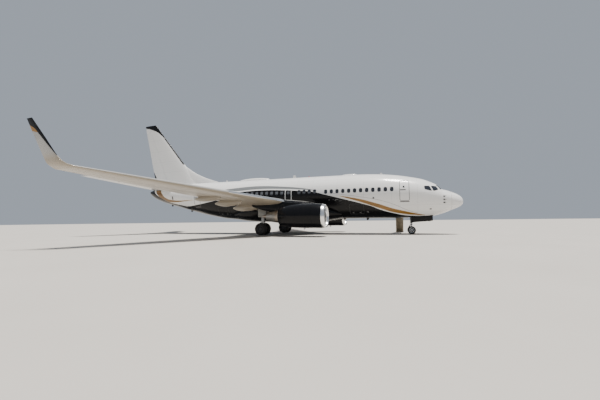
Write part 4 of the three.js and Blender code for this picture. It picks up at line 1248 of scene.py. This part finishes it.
def cowlShell(front, rear, count, edge=0.004):
    inside = cowlRows(spread(front, rear, count)[::-1], ductLine)
    places = [front, front + edge] + spread(front, rear, count)[1:-1] + [rear - edge, rear]
    outside = cowlRows(places, cowlLine, engine["flatFoot"])
    outside[0] = (front, outside[0][1] - edge, engine["flatFoot"])
    outside[-1] = (rear, outside[-1][1] - edge, engine["flatFoot"])
    return tube(outside + inside + outside[:1], 96, cowlPoint, filled=False)


def lipShell():
    places = [engine["lip"] * share * share for share in spread(0, 1, 16)]
    outside = [(behind, radius, between(1, engine["flatFoot"], min(1, sqrt(behind) * 4)))
               for behind, radius, _ in cowlRows(places, cowlLine)]
    return tube(outside + cowlRows(places[::-1], ductLine), 96, cowlPoint, filled=False)


def engineTurned(profile, sides=64):  # profile rows are (radius, distance behind the inlet)
    return turned(profile, sides, (at(engine["inlet"]), engine["y"], engine["z"]), (-1, 0, 0))


def aroundEngine(count, line, behind, foot=1.0):  # spots round the cowl or duct, each with its way out
    for i in range(count):
        angle = tau * (i + 0.5) / count
        yield enginePoint(behind, line(behind)[0], angle, foot), Vector((0, sin(angle), cos(angle)))


# half chord, half thickness and lean in degrees, each at the foot and at the tip
fanShape = {"half": (0.085, 0.118), "thick": (0.012, 0.003), "lean": (22, 62), "bow": 0.016, "foot": 0.2}


def fanBlade(turn):
    def place(row, angle):
        share, radius = row
        half, thick = between(*fanShape["half"], share), between(*fanShape["thick"], share)
        lean = radians(between(*fanShape["lean"], share ** 0.8))
        across = half * cos(angle)
        bow = fanShape["bow"] * (1 - (across / half) ** 2) + thick * sin(angle)
        sweep = 0.03 * sin(share * pi) - 0.02 * share
        forward = across * cos(lean) - bow * sin(lean) + sweep
        aside = across * sin(lean) + bow * cos(lean)
        spot = Vector((forward, aside, radius))
        return enginePoint(engine["fan"], 0, 0) + Matrix.Rotation(turn, 3, "X") @ spot
    rows = [(share, between(fanShape["foot"], engine["fanRadius"], share)) for share in spread(0, 1, 12)]
    return tube(rows, 16, place)


def vane(turn, behind, low, high, half):
    def place(radius, angle):
        spot = Vector((half * cos(angle), 0.006 * sin(angle), radius))
        return enginePoint(behind, 0, 0) + Matrix.Rotation(turn, 3, "X") @ spot
    return tube([low, high], 12, place)


def makeCowls():
    pair("inlet_lip_ring", "metal", lipShell(), "polished_metal", ["inlet_lip"])
    foot = engine["flatFoot"]
    rivets = [rod(spot - out * 0.004, spot + out * 0.0012, 0.007, 0.006, 8, 0.0005)
              for spot, out in aroundEngine(60, cowlLine, 0.25, foot)]
    rivets += [rod(spot + out * 0.004, spot - out * 0.002, 0.024, 0.024, 16, 0.001)
               for spot, out in aroundEngine(14, ductLine, 0.12)]
    pair("inlet_fasteners", "seal", joined(rivets), "dark_frame")
    shells = [cowlShell(engine["lip"] + 0.001, engine["fanCowl"], 10),
              cowlShell(engine["fanCowl"] + 0.005, engine["sleeve"], 18),
              cowlShell(engine["sleeve"] + 0.008, engine["end"], 22)]
    inner = spread(0.8, 2.9, 14)
    lining = tube(cowlRows(inner, cowlLine, foot, -0.02) + cowlRows(inner[::-1], cowlLine, foot, -0.06)
                  + cowlRows(inner[:1], cowlLine, foot, -0.02), 64, cowlPoint, filled=False)
    for shell in shells:  # faces towards the engine's axis line the duct
        shell.normal_update()
        for face in shell.faces:
            way = face.calc_center_median() - enginePoint(0, 0, 0)
            if face.normal.y * way.y + face.normal.z * way.z < -0.3 * hypot(way.y, way.z):
                face.material_index = 2
    cowls = joined(shells + [tinted(lining, 1)])
    pair("engine_cowls", "blackGloss dark duct", cowls, "black_paint", ["nacelle"])
    latches = []
    for behind in (1.2, 1.5, 1.8, 2.15, 2.6, 3.0, 3.4):
        low = enginePoint(behind, cowlLine(behind)[0], pi, foot)
        latches.append(block(low - Vector((0.05, 0.02, 0.006)), low + Vector((0.05, 0.02, 0.02))))
    mast = enginePoint(1.7, cowlLine(1.7)[0], radians(170), foot)
    corners = ((0.1, 0.02), (-0.02, -0.14), (-0.1, -0.14), (-0.1, 0.02))
    latches.append(prism([mast + Vector((ahead, 0, up)) for ahead, up in corners], (0, 0.02, 0), 0.004))
    pair("cowl_latches", "steel", joined(latches), "black_paint")
    turn = radians(-48)
    out, flat = Vector((0, sin(turn), cos(turn))), Vector((0, cos(turn), -sin(turn)))
    corners = [enginePoint(behind, 0, 0) + out * radius - flat * 0.008
               for behind, radius in ((0.9, 0.97), (1.4, 1.2), (1.8, 1.21), (1.86, 0.98))]
    pair("nacelle_chine", "blackGloss", prism(corners, flat * 0.016, 0.004), "black_paint")


def makeFans():
    nose = [(0, -0.47), (0.02, -0.466), (0.06, -0.438), (0.12, -0.36), (0.18, -0.255), (0.235, -0.13),
            (0.265, -0.02), (0.268, 0.11), (0, 0.11)]
    spinner = engineTurned([(radius, engine["fan"] + behind) for radius, behind in nose], 48)
    blades = joined([fanBlade(tau * i / engine["blades"]) for i in range(engine["blades"])])
    pair("fan_blades", "titanium", blades, "fan_metal", ["fan"], "fan")
    pair("spinner", "spinner", spinner, "fan_metal", body="fan")


def makeCores():
    case = engineTurned([(0, 1.42), (0.3, 1.43), (0.4, 1.53), (0.48, 1.95), (0.545, 2.55), (0.56, 3.15),
                         (0.55, 3.8), (0.515, 4.15), (0, 4.15)])
    vanes = [vane(tau * i / 36, engine["vanes"], 0.42, 0.785, 0.075) for i in range(36)]
    pair("engine_core_case", "exhaust", joined([case] + vanes), "exhaust_metal", ["engine_core"])
    nozzle = [(0.548, 3.81), (0.535, 3.95), (0.5, 4.25), (0.44, 4.65), (0.385, 4.98), (0.37, 4.982),
              (0.36, 4.95), (0.375, 4.65), (0.4, 4.35), (0.3, 4.25), (0.3, 3.81), (0.548, 3.81)]
    pair("core_nozzle", "nozzle", engineTurned(nozzle, 72), "exhaust_metal")
    cone = [(0, 4.15), (0.25, 4.25), (0.262, 4.55), (0.235, 4.77), (0.16, 5.11), (0.09, 5.35), (0.045, 5.45),
            (0.03, 5.475), (0, 5.48)]
    pair("exhaust_cone", "exhaust", engineTurned(cone), "exhaust_metal")


pylonSize = {"front": 11.43, "length": 5.57, "thickness": 0.068}
pylonLine = Lines([
    # station, top, foot
    (11.43, 2.46, 2.24), (11.83, 2.595, 2.24), (12.7, 2.685, 2.24), (13.5, 2.765, 2.24), (14.03, 2.835, 2.2),
    (14.33, 2.86, 1.97), (14.8, 2.885, 1.97), (15.5, 2.885, 2.08), (16.0, 2.88, 2.19), (16.3, 2.86, 2.27),
    (16.7, 2.72, 2.41), (16.9, 2.64, 2.54),
])


def makePylons():
    def place(station, angle):
        top, foot = pylonLine(station)
        share = max((station - pylonSize["front"]) / pylonSize["length"], 0.004)
        half = thicknessAt(share, pylonSize["thickness"]) * pylonSize["length"]
        up, out = cos(angle), sin(angle)
        rise = copysign(abs(up) ** 0.6, up) * (top - foot) / 2
        aside = half * copysign(abs(out) ** 0.5, out)
        return point(station, engine["y"] + aside, (top + foot) / 2 + rise)
    stations = [pylonSize["front"] + 0.02 * step * step for step in range(1, 6)] + spread(12.0, 16.89, 60)
    cowl = tube(cowlRows(spread(0.01, 3.8, 60), cowlLine, engine["flatFoot"], -0.002), 96, cowlPoint)
    pair("pylon_fairing", "pylon", cut(tube(stations, 48, place), cowl), "black_paint", ["pylon"])


def spinnerPaint():  # dark, with a white spiral mark
    paint = Paint("spinner_enamel", Coat_Weight=0.3, Coat_Roughness=0.1)
    aside, up = abs(paint.y) - engine["y"], paint.z - engine["z"]
    turn = paint.math("ARCTAN2", up, aside) / tau
    radius = paint.math("SQRT", aside * aside + up * up)
    phase = paint.math("FRACT", turn + radius * 3.2 + 4)
    swirl = phase.near(0.5, 0.055, 0.01) * radius.rising(0.05, 0.06) * (1 - radius.rising(0.2, 0.21))
    return skinFinish(paint, paint.mix(swirl, rgb(0.035, 0.037, 0.04), rgb(0.7, 0.7, 0.68)), 0.0, 0.3)


paints["spinner"] = spinnerPaint()
paints["nozzle"] = metalPaint("nozzle_metal", rgb(0.40, 0.39, 0.37), 0.32, rgb(0.17, 0.14, 0.10), 0.6)
paints["pylon"] = plainGloss("pylon_gloss", shades["black"], (12.2, 13.4, 14.6), (2.45,), 0.2, 0.12,
                             dark=True)
makeCowls()
makeFans()
makeCores()
makePylons()
print("engines made")


# Landing gear
mainGear = {
    "station": 16.78, "y": 2.86, "offset": 0.43, "radius": 0.555, "width": 0.42, "seat": 0.482, "dish": 0.17,
    "bore": 0.078, "grooves": (0.16, 0.42), "holes": 9, "finish": "mainRim",
    "links": {"aft": 0.08, "knee": 0.42, "levels": (1.24, 0.9, 0.57), "half": 0.06, "pinch": 0.5,
              "wide": 0.11, "narrow": 0.06, "thick": 0.03, "pin": 0.028},
}
noseGear = {
    "station": 4.08, "y": 0.0, "offset": 0.2, "radius": 0.343, "width": 0.197, "seat": 0.562, "dish": 0.26,
    "bore": 0.051, "grooves": (0.3,), "holes": 0, "finish": "rim",
    "links": {"aft": 0.05, "knee": 0.25, "levels": (0.82, 0.6, 0.39), "half": 0.05, "pinch": 0.6,
              "wide": 0.07, "narrow": 0.045, "thick": 0.022, "pin": 0.02},
}
wheelEnds = (("port", 1), ("starboard", -1))


def aboutAxle(gear, centreY, profile, sides=72):  # profile rows are (radius, distance out from the middle)
    return turned(profile, sides, (at(gear["station"]), centreY, gear["radius"]), (0, 1, 0))


def tyreProfile(gear, grooves):
    radius, half = gear["radius"], gear["width"] / 2
    crown = Lines([(0, 1), (0.3, 0.997), (0.55, 0.985), (0.75, 0.952), (0.9, 0.89), (0.975, 0.81), (1, 0.72)])
    tread = []
    for share in spread(0, 0.9, 10) + [0.94, 0.975, 0.99, 1.0]:
        tread.append((crown(share)[0] * radius, share * half))
    for groove in grooves:
        level = crown(groove)[0] * radius
        tread = [row for row in tread if abs(row[1] - groove * half) > 0.012]
        tread += [(level, groove * half - 0.009), (level - 0.011, groove * half - 0.006),
                  (level - 0.011, groove * half + 0.006), (level, groove * half + 0.009)]
    tread.sort(key=lambda row: row[1])
    flank = [(between(gear["seat"], 0.67, share) * radius, wide * half)
             for share, wide in ((1, 0.985), (0.65, 0.94), (0.32, 0.85), (0.1, 0.745), (0, 0.7))]
    side = tread + flank
    return [(r, -w) for r, w in side[::-1]] + side[1 if not grooves or tread[0][1] == 0 else 0:] + [
        (gear["seat"] * radius, -0.7 * half)]


def makeWheel(prefix, body, gear, centreY, outward):
    wide, half, bore = gear["width"], 0.36 * gear["width"], gear["bore"]
    seat, dish = gear["seat"] * gear["radius"], gear["dish"] * gear["width"]
    tyre = aboutAxle(gear, centreY, tyreProfile(gear, gear["grooves"]), 96)
    piece(f"{prefix}_tread", "tyre", tyre, "tyre_rubber", [prefix.replace("wheel", "tyre")], body)
    face = [(bore, half), (bore + 0.045, half), (0.62 * seat, dish + 0.03 * wide), (0.8 * seat, dish),
            (0.9 * seat, dish + 0.07 * wide), (0.93 * seat, half), (seat, half + 0.012),
            (seat + 0.012, half + 0.012), (seat + 0.012, half - 0.006), (seat, half - 0.012)]
    back = [(radius, -way) for radius, way in face[::-1]]
    rim = aboutAxle(gear, centreY, back[-1:] + face + back)
    cuts, bolts = [], []
    axle = point(gear["station"], centreY, gear["radius"])

    def across(angle, reach, start, end, radius, **settings):
        spot = axle + Vector((cos(angle), 0, sin(angle))) * reach * seat
        return rod(spot + Vector((0, start * wide, 0)), spot + Vector((0, end * wide, 0)), radius * seat,
                   **settings)
    for i in range(gear["holes"]):
        angle = tau * (i + 0.5) / gear["holes"]
        cuts.append(across(angle, 0.73, -1, 1, 0.115, sides=16))
        bolts += [across(angle + 0.3, 0.56, way * 0.15, way * 0.26, 0.035, sides=8, edge=0.002)
                  for way in (-1, 1)]
    if cuts:
        rim = cut(rim, joined(cuts))
    cap = [(0, half + 0.03), (0.3 * seat, half + 0.026), (0.34 * seat, half + 0.004),
           (0.34 * seat, half - 0.02), (0, half - 0.02)]
    hub = aboutAxle(gear, centreY, [(radius, outward * way) for radius, way in cap], 32)
    piece(f"{prefix}_hub", f"{gear['finish']} dark steel", layered([rim], [hub], bolts), "rim_metal",
          [prefix.replace("wheel", "rim")], body)


def link(start, end, wide, narrow, thickness):  # a tapered flat arm in the plane along the aircraft
    start, end = Vector(start), Vector(end)
    run = (end - start).normalized()
    across = Vector((-run.z, 0, run.x))
    corners = [start + across * wide / 2, start - across * wide / 2, end - across * narrow / 2,
               end + across * narrow / 2]
    return prism([corner - Vector((0, thickness / 2, 0)) for corner in corners], (0, thickness, 0), 0.008)


def panel(corners, y, thickness, edge=0.006):  # corners are (station, height)
    return prism([(at(station), y, z) for station, z in rounded(corners, 0.05)], (0, thickness, 0), edge)


def torqueLinks(spot, aft, knee, levels, half, pinch, wide, narrow, thick, pin):
    # two pairs of arms from the leg to a knee behind it, and the pin through the knee
    arms = []
    for side in (-half, half):
        bend = spot(knee, side * pinch, levels[1])
        arms.append(link(spot(aft, side, levels[0]), bend, wide, narrow, thick))
        arms.append(link(bend, spot(aft, side, levels[2]), narrow, wide, thick))
    return arms + rods(spot, [((knee, -half - 0.01, levels[1]), (knee, half + 0.01, levels[1]), pin)])


def spotOn(gear):  # places from the leg's centre line: distance aft, distance out and height
    return lambda aft, out, z: point(gear["station"] + aft, gear["y"] + out, z)


def makeMainGear():
    gear, spot = mainGear, spotOn(mainGear)
    axle = gear["radius"]
    painted = rods(spot, (
        # the leg, its collars, the axle, the side brace and the drag brace, and their pins
        ((0, 0, 1.15), (0, 0, 2.7), 0.14, 0.14, 40), ((0, 0, 1.12), (0, 0, 1.2), 0.16),
        ((0, 0, 1.62), (0, 0, 1.7), 0.155), ((0, 0, axle - 0.12), (0, 0, axle + 0.12), 0.11),
        ((0, -0.5, axle), (0, 0.5, axle), 0.072, 0.072, 32), ((0, 0, 1.5), (0, -1.5, 2.15), 0.06),
        ((0, 0, 1.65), (-1.0, -0.06, 2.6), 0.06), ((0, -0.14, 1.5), (0, 0.14, 1.5), 0.09),
        ((0, -0.16, 1.95), (-0.4, -0.6, 2.5), 0.05), ((0, 0, 1.75), (0, 0.23, 1.75), 0.03),
        ((0, 0, 2.3), (0, 0.23, 2.3), 0.03)))
    painted += torqueLinks(spot, **gear["links"])
    steel = rods(spot, [((0, 0, axle + 0.1), (0, 0, 1.2), 0.086, 0.086, 40)])
    for side in (-1, 1):  # brake packs inside the wheels
        steel += rods(spot, [((0, side * 0.23, axle), (0, side * 0.34, axle), 0.2, 0.2, 40)])
        for i in range(6):
            angle = tau * i / 6
            aft, z = -cos(angle) * 0.14, axle + sin(angle) * 0.14
            steel += rods(spot, [((aft, side * 0.17, z), (aft, side * 0.24, z), 0.03, 0.03, 12)])
    hoses = []
    for side, aft in ((-0.05, -0.15), (0.05, -0.15), (0.0, -0.16)):
        run = [(aft, side, 2.3), (aft, side, 1.3), (aft - 0.08, side * 2, 0.95),
               (-0.12, side * 3, axle + 0.06)]
        hoses += rods(spot, [(a, b, 0.012, 0.012, 8, 0.002) for a, b in zip(run, run[1:])])
    s = gear["station"]
    door = panel([(s - 0.36, 1.6), (s + 0.36, 1.6), (s + 0.4, 2.6), (s - 0.4, 2.6)], gear["y"] + 0.205, 0.03)
    legs = layered(painted, steel, hoses, [door])
    pair("main_leg_struts", "gear steel seal legDoor", legs, "gear_paint", ["main_leg"])
    for hand, side in hands:
        for end, way in wheelEnds:
            centreY = side * gear["y"] + way * gear["offset"]
            makeWheel(f"main_{hand}_wheel_{end}", f"main_wheels_{hand}", gear, centreY, way)


def makeNoseGear():
    gear, spot = noseGear, spotOn(noseGear)
    axle = gear["radius"]
    upper = rods(spot, [
        # the leg, its collars, the trunnion, the steering jacks' mounts, the drag braces and the jacks
        ((0, 0, 0.93), (0, 0, 1.9), 0.1, 0.1, 40), ((0, 0, 0.93), (0, 0, 1.0), 0.115, 0.115, 40),
        ((0, 0, 1.3), (0, 0, 1.36), 0.112, 0.112, 40), ((0, -0.33, 1.7), (0, 0.33, 1.7), 0.05),
        ((-0.04, -0.16, 1.18), (-0.04, 0.16, 1.18), 0.04), ((0.02, -0.17, 1.12), (0.02, 0.17, 1.12), 0.035)]
        + [((-0.04, side * 0.13, 1.18), (-0.9, side * 0.2, 1.9), 0.035) for side in (-1, 1)]
        + [((0.02, side * 0.15, 1.12), (-0.1, side * 0.15, 1.0), 0.045) for side in (-1, 1)])
    # taxi lamps ahead of the leg
    cans = rods(spot, [((-0.10, side * 0.1, 1.36), (-0.17, side * 0.1, 1.355), 0.05, 0.075, 24)
                       for side in (-1, 1)])
    glasses = rods(spot, [((-0.171, side * 0.1, 1.355), (-0.176, side * 0.1, 1.355), 0.068, 0.068, 24, 0.001)
                          for side in (-1, 1)])
    piece("nose_leg_outer", "noseLeg steel lamp", layered(upper, cans, glasses), "gear_paint",
          ["nose_leg_upper"])
    lower = rods(spot, [((0, 0, 0.76), (0, 0, 0.88), 0.092, 0.092, 32),
                        ((0, -0.3, axle), (0, 0.3, axle), 0.045),
                        ((0, 0, axle - 0.07), (0, 0, axle + 0.12), 0.07)])
    lower.append(block(spot(-0.04, -0.045, 0.30), spot(-0.17, 0.045, 0.38)))
    lower += torqueLinks(spot, **gear["links"])
    chrome = rods(spot, [((0, 0, axle + 0.05), (0, 0, 1.19), 0.058, 0.058, 32)])
    piece("nose_leg_inner", "noseLeg steel", layered(lower, chrome), "gear_paint", ["nose_leg_lower"],
          "nose_steering")
    for end, way in wheelEnds:
        makeWheel(f"nose_wheel_{end}", "nose_wheels", gear, way * gear["offset"], way)
    door = panel([(2.4, 1.75), (4.11, 1.7), (4.11, 1.0), (2.4, 1.13)], 0.395, 0.03)
    ribs = [panel([(s, 1.45), (s + 0.03, 1.45), (s + 0.03, 1.08), (s, 1.1)], 0.38, 0.02, 0.002)
            for s in (2.6, 2.95, 3.3, 3.65, 3.95)]
    doors = layered([cut(door, solidBody)], ribs)
    pair("nose_door_panel", "noseDoor dark", doors, "white_paint", ["nose_gear_door"])


# Airstair below the entry door
stair = {"middle": 4.99, "half": 0.35, "topY": 1.88, "topZ": 2.52, "footY": 4.3, "footZ": 0.012, "treads": 9}


def makeAirstair():
    def spot(station, share, rise=0.0):
        return point(station, between(stair["topY"], stair["footY"], share),
                     between(stair["topZ"], stair["footZ"], share) + rise)
    frame, rails, pads = [], [], []
    for side in (-1, 1):
        station = stair["middle"] + side * stair["half"]
        outline = [spot(station, 0), spot(station, 1), spot(station, 1) - Vector((0, 0.19, 0)),
                   spot(station, 0, -0.24)]
        frame.append(prism(outline, (side * 0.045, 0, 0), 0.008))
        post = station - side * 0.022
        runs = [((post, share, -0.06), (post, share, 0.85), 0.016, 0.016, 12) for share in (0.06, 0.47, 0.88)]
        runs += [((post, 0.05, rise), (post, 0.89, rise), 0.02, 0.02, 12) for rise in (0.85, 0.45)]
        rails += rods(spot, runs)
        roller = spot(post, 1.0, 0.06) - Vector((0.0, 0.1, 0.0))
        pads.append(rod(roller, roller - Vector((side * 0.05, 0, 0)), 0.05))
    half = stair["half"] - 0.02
    for i in range(stair["treads"]):
        middle = spot(stair["middle"], (i + 0.5) / stair["treads"], -0.06)
        frame.append(block(middle - Vector((half, 0.11, 0.03)), middle + Vector((half, 0.11, 0.03)), 0.006))
        for strip in range(6):  # tread grip
            y = -0.095 + strip * 0.038
            pads.append(block(middle + Vector((-half + 0.03, y - 0.006, 0.029)),
                              middle + Vector((half - 0.03, y + 0.006, 0.034)), 0))
    top, foot = spot(stair["middle"] - half, 0, -0.24), spot(stair["middle"] - half, 1) - Vector((0, 0.19, 0))
    soffit = [top, foot, foot + Vector((0, 0.02, 0.001)), top + Vector((0, 0, 0.024))]
    under = [prism(soffit, (-2 * half, 0, 0), 0.002)]
    for share in (0.18, 0.38, 0.58, 0.78):  # stiffeners on the underside
        mark = top.lerp(foot, share) - Vector((half, 0, 0))
        under.append(block(mark - Vector((half, 0.02, 0.02)), mark + Vector((half, 0.02, 0.01)), 0.004))
    piece("airstair_frame", "soffit stair metal seal", layered(under, frame, rails, pads),
          "stair_finish", ["airstair"])


# Aerials, lamps and probes
bladeRows = [
    # station of the foot, height of the foot, rise, chord at the foot, sweep
    (14.48, 5.38, 0.33, 0.38, 0.15), (6.3, 5.25, 0.2, 0.26, 0.11), (22.1, 5.39, 0.21, 0.26, 0.11),
    (7.6, 1.44, -0.2, 0.26, 0.11), (9.7, 1.45, -0.17, 0.22, 0.09), (26.43, 2.57, -0.24, 0.3, 0.08),
    (29.02, 3.25, -0.25, 0.3, 0.08),
]
beaconRows = [(13.22, 5.415, 1), (15.9, 1.175, -1)]  # station, height and which way it points
probeRows = [(1.57, 3.11), (1.57, 2.84), (1.57, 2.6)]  # station and height
portRows = [
    # station, height, width, tallness
    (2.61, 2.1, 0.16, 0.1), (7.1, 3.11, 0.14, 0.14), (7.63, 1.95, 0.16, 0.12), (10.9, 3.05, 0.1, 0.1),
    (28.13, 3.84, 0.2, 0.36),
]


def blade(row):
    station, foot, rise, chord, sweep = row

    def place(share, angle):
        size = between(1, 0.55, share) * (1 - 0.6 * max(0, share - 0.9) / 0.1)
        along = (1 + cos(angle)) / 2 * chord * between(1, 0.55, share)
        half = thicknessAt((1 + cos(angle)) / 2, 0.09) * chord * size
        aside = half if sin(angle) >= 0 else -half
        return point(station + sweep * share + along, aside, foot + rise * share)
    return tube(spread(0, 0.9, 8) + [0.95, 0.98, 1.0], 28, place)


def makeDetails():
    for name, finish, way in (("blade_aerials", "aerial", 1), ("drain_masts", "seal", -1)):
        rows = [row for row in bladeRows if row[2] * way > 0]
        piece(name, finish, joined([blade(row) for row in rows]), "white_paint")
    beacon = [(0.0, 0.12), (0.035, 0.112), (0.06, 0.085), (0.07, 0.05), (0.075, 0.0), (0.0, 0.0)]
    lamps = [turned(beacon, 32, (at(station), 0, z), (0, 0, way)) for station, z, way in beaconRows]
    piece("beacons", "beacon", joined(lamps), "dark_frame")
    parts = []
    for _, side in hands:
        for station, z in probeRows:
            base = sidePoint(side, station, z, 0.0)
            tip = base + (sidePoint(side, station, z, 0.1) - base).normalized() * 0.09
            parts.append(rod(base, tip, 0.012, sides=10, edge=0.002))
            parts.append(rod(tip, tip + Vector((0.16, 0, 0)), 0.011, 0.007, 10, 0.002))
            parts.append(inlay(plateAt(station, z, 0.16, 0.12, 0.035), plateDepth, onSide(side)))
        parts += [inlay(plateAt(*row, 0.03), plateDepth, onSide(side)) for row in portRows]
    piece("probes_and_ports", "frame", joined(parts), "dark_frame")
    ring = [(0.118, -0.02), (0.118, 0.25), (0.132, 0.25), (0.132, -0.02), (0.118, -0.02)]
    tail = turned(ring, 40, (at(31.96), 0, tailpipe["z"]), (-1, 0, 0))
    piece("tailpipe_ring", "exhaust", tail, "exhaust_metal")


def lampPaint(name, colour):
    paint = Paint(name, Coat_Weight=0.8, Coat_Roughness=0.02)
    facets = paint.cloudy((40, 40, 40), 2)
    tone = paint.mix(facets.rising(0.3, 0.7) * 0.3, colour, rgb(0.9, 0.9, 0.9))
    return paint.use(Base_Color=tone, Roughness=facets * 0.08 + 0.05, Normal=paint.bump(facets, 0.002))


paints["lamp"] = lampPaint("lamp_glass", rgb(0.75, 0.77, 0.78))
paints["beacon"] = lampPaint("beacon_glass", rgb(0.45, 0.02, 0.015))
paints["mainRim"] = enamel("main_wheel_enamel", rgb(0.075, 0.077, 0.08), 0.45, 0.6)
# the nose leg is much darker than the main gear's grey: painted shade, the leg standing in the shade under
# the nose
paints["noseLeg"] = enamel("nose_leg_enamel_shaded", rgb(0.16, 0.165, 0.17))
paints["legDoor"] = plainGloss("leg_door_gloss", rgb(0.33, 0.33, 0.31), (), (2.1,), 0.3, 0.3)
paints["noseDoor"] = plainGloss("nose_door_gloss", shades["black"], (3.05,), (), 0.25, 0.2, dark=True)
# the airstair's aluminium takes a dark brown-olive tone and its soffit darker still: painted shade, the stair
# seen in the shade under the fuselage
paints["stair"] = metalPaint("stair_metal_in_shade", rgb(0.30, 0.25, 0.19), 0.4, rgb(0.12, 0.09, 0.06), 0.6, 0.4)
paints["soffit"] = enamel("stair_soffit_in_shade", rgb(0.15, 0.122, 0.078), 0.45, 0.4)
paints["aerial"] = plainGloss("aerial_gloss", rgb(0.72, 0.72, 0.71), (), (), 0.3, 0.2)
makeMainGear()
makeNoseGear()
makeAirstair()
makeDetails()
print("gear, airstair and details made")


# Camera at the photograph's place, floor and light
view = {"place": (11.345, -27.45, 1.27), "yaw": 17.57, "pitch": 3.96, "roll": -0.64, "lens": 17.796,
        "sensor": 36, "far": 500}
light = {"turn": (-3, 9, -20), "strength": 7.0, "spread": 12, "colour": (1.0, 0.965, 0.91),
         "sky": rgb(0.72, 0.80, 0.92), "skyStrength": 0.5}
ground = {"radius": 400, "shades": (rgb(0.47, 0.44, 0.40), rgb(0.54, 0.51, 0.47)), "roughness": 0.85}


def placeCamera():
    y, p, r = (radians(view[turn]) for turn in ("yaw", "pitch", "roll"))
    ahead = Vector((-sin(y) * cos(p), cos(y) * cos(p), sin(p)))
    right = Vector((cos(y), sin(y), 0))
    up = right.cross(ahead)
    turnedRight = cos(r) * right + sin(r) * up
    turnedUp = -sin(r) * right + cos(r) * up
    camera = bpy.data.objects.new("camera", bpy.data.cameras.new("camera"))
    camera.data.lens = view["lens"]
    camera.data.sensor_width = view["sensor"]
    camera.data.clip_end = view["far"]
    camera.matrix_world = Matrix((turnedRight, turnedUp, -ahead)).transposed().to_4x4()
    camera.location = view["place"]
    scene.collection.objects.link(camera)
    scene.camera = camera


def makeFloor():
    disc = bmesh.new()
    bmesh.ops.create_circle(disc, cap_ends=True, segments=64, radius=ground["radius"])
    mesh = bpy.data.meshes.new("floor")
    disc.to_mesh(mesh)
    paint = Paint("pale_floor", Roughness=ground["roughness"])
    colour = paint.mix(paint.cloudy((0.25, 0.25, 0.25), 4), *ground["shades"])
    mesh.materials.append(paint.use(Base_Color=colour))
    floor = bpy.data.objects.new("floor", mesh)
    scene.collection.objects.link(floor)


def makeLight():
    world = bpy.data.worlds.new("studio")
    world.use_nodes = True
    sky = world.node_tree.nodes["Background"].inputs
    sky["Color"].default_value = light["sky"]
    sky["Strength"].default_value = light["skyStrength"]
    scene.world = world
    sun = bpy.data.lights.new("key", "SUN")
    sun.energy = light["strength"]
    sun.angle = radians(light["spread"])
    sun.color = light["colour"]
    key = bpy.data.objects.new("key", sun)
    key.rotation_euler = [radians(turn) for turn in light["turn"]]
    scene.collection.objects.link(key)


placeCamera()
makeFloor()
makeLight()
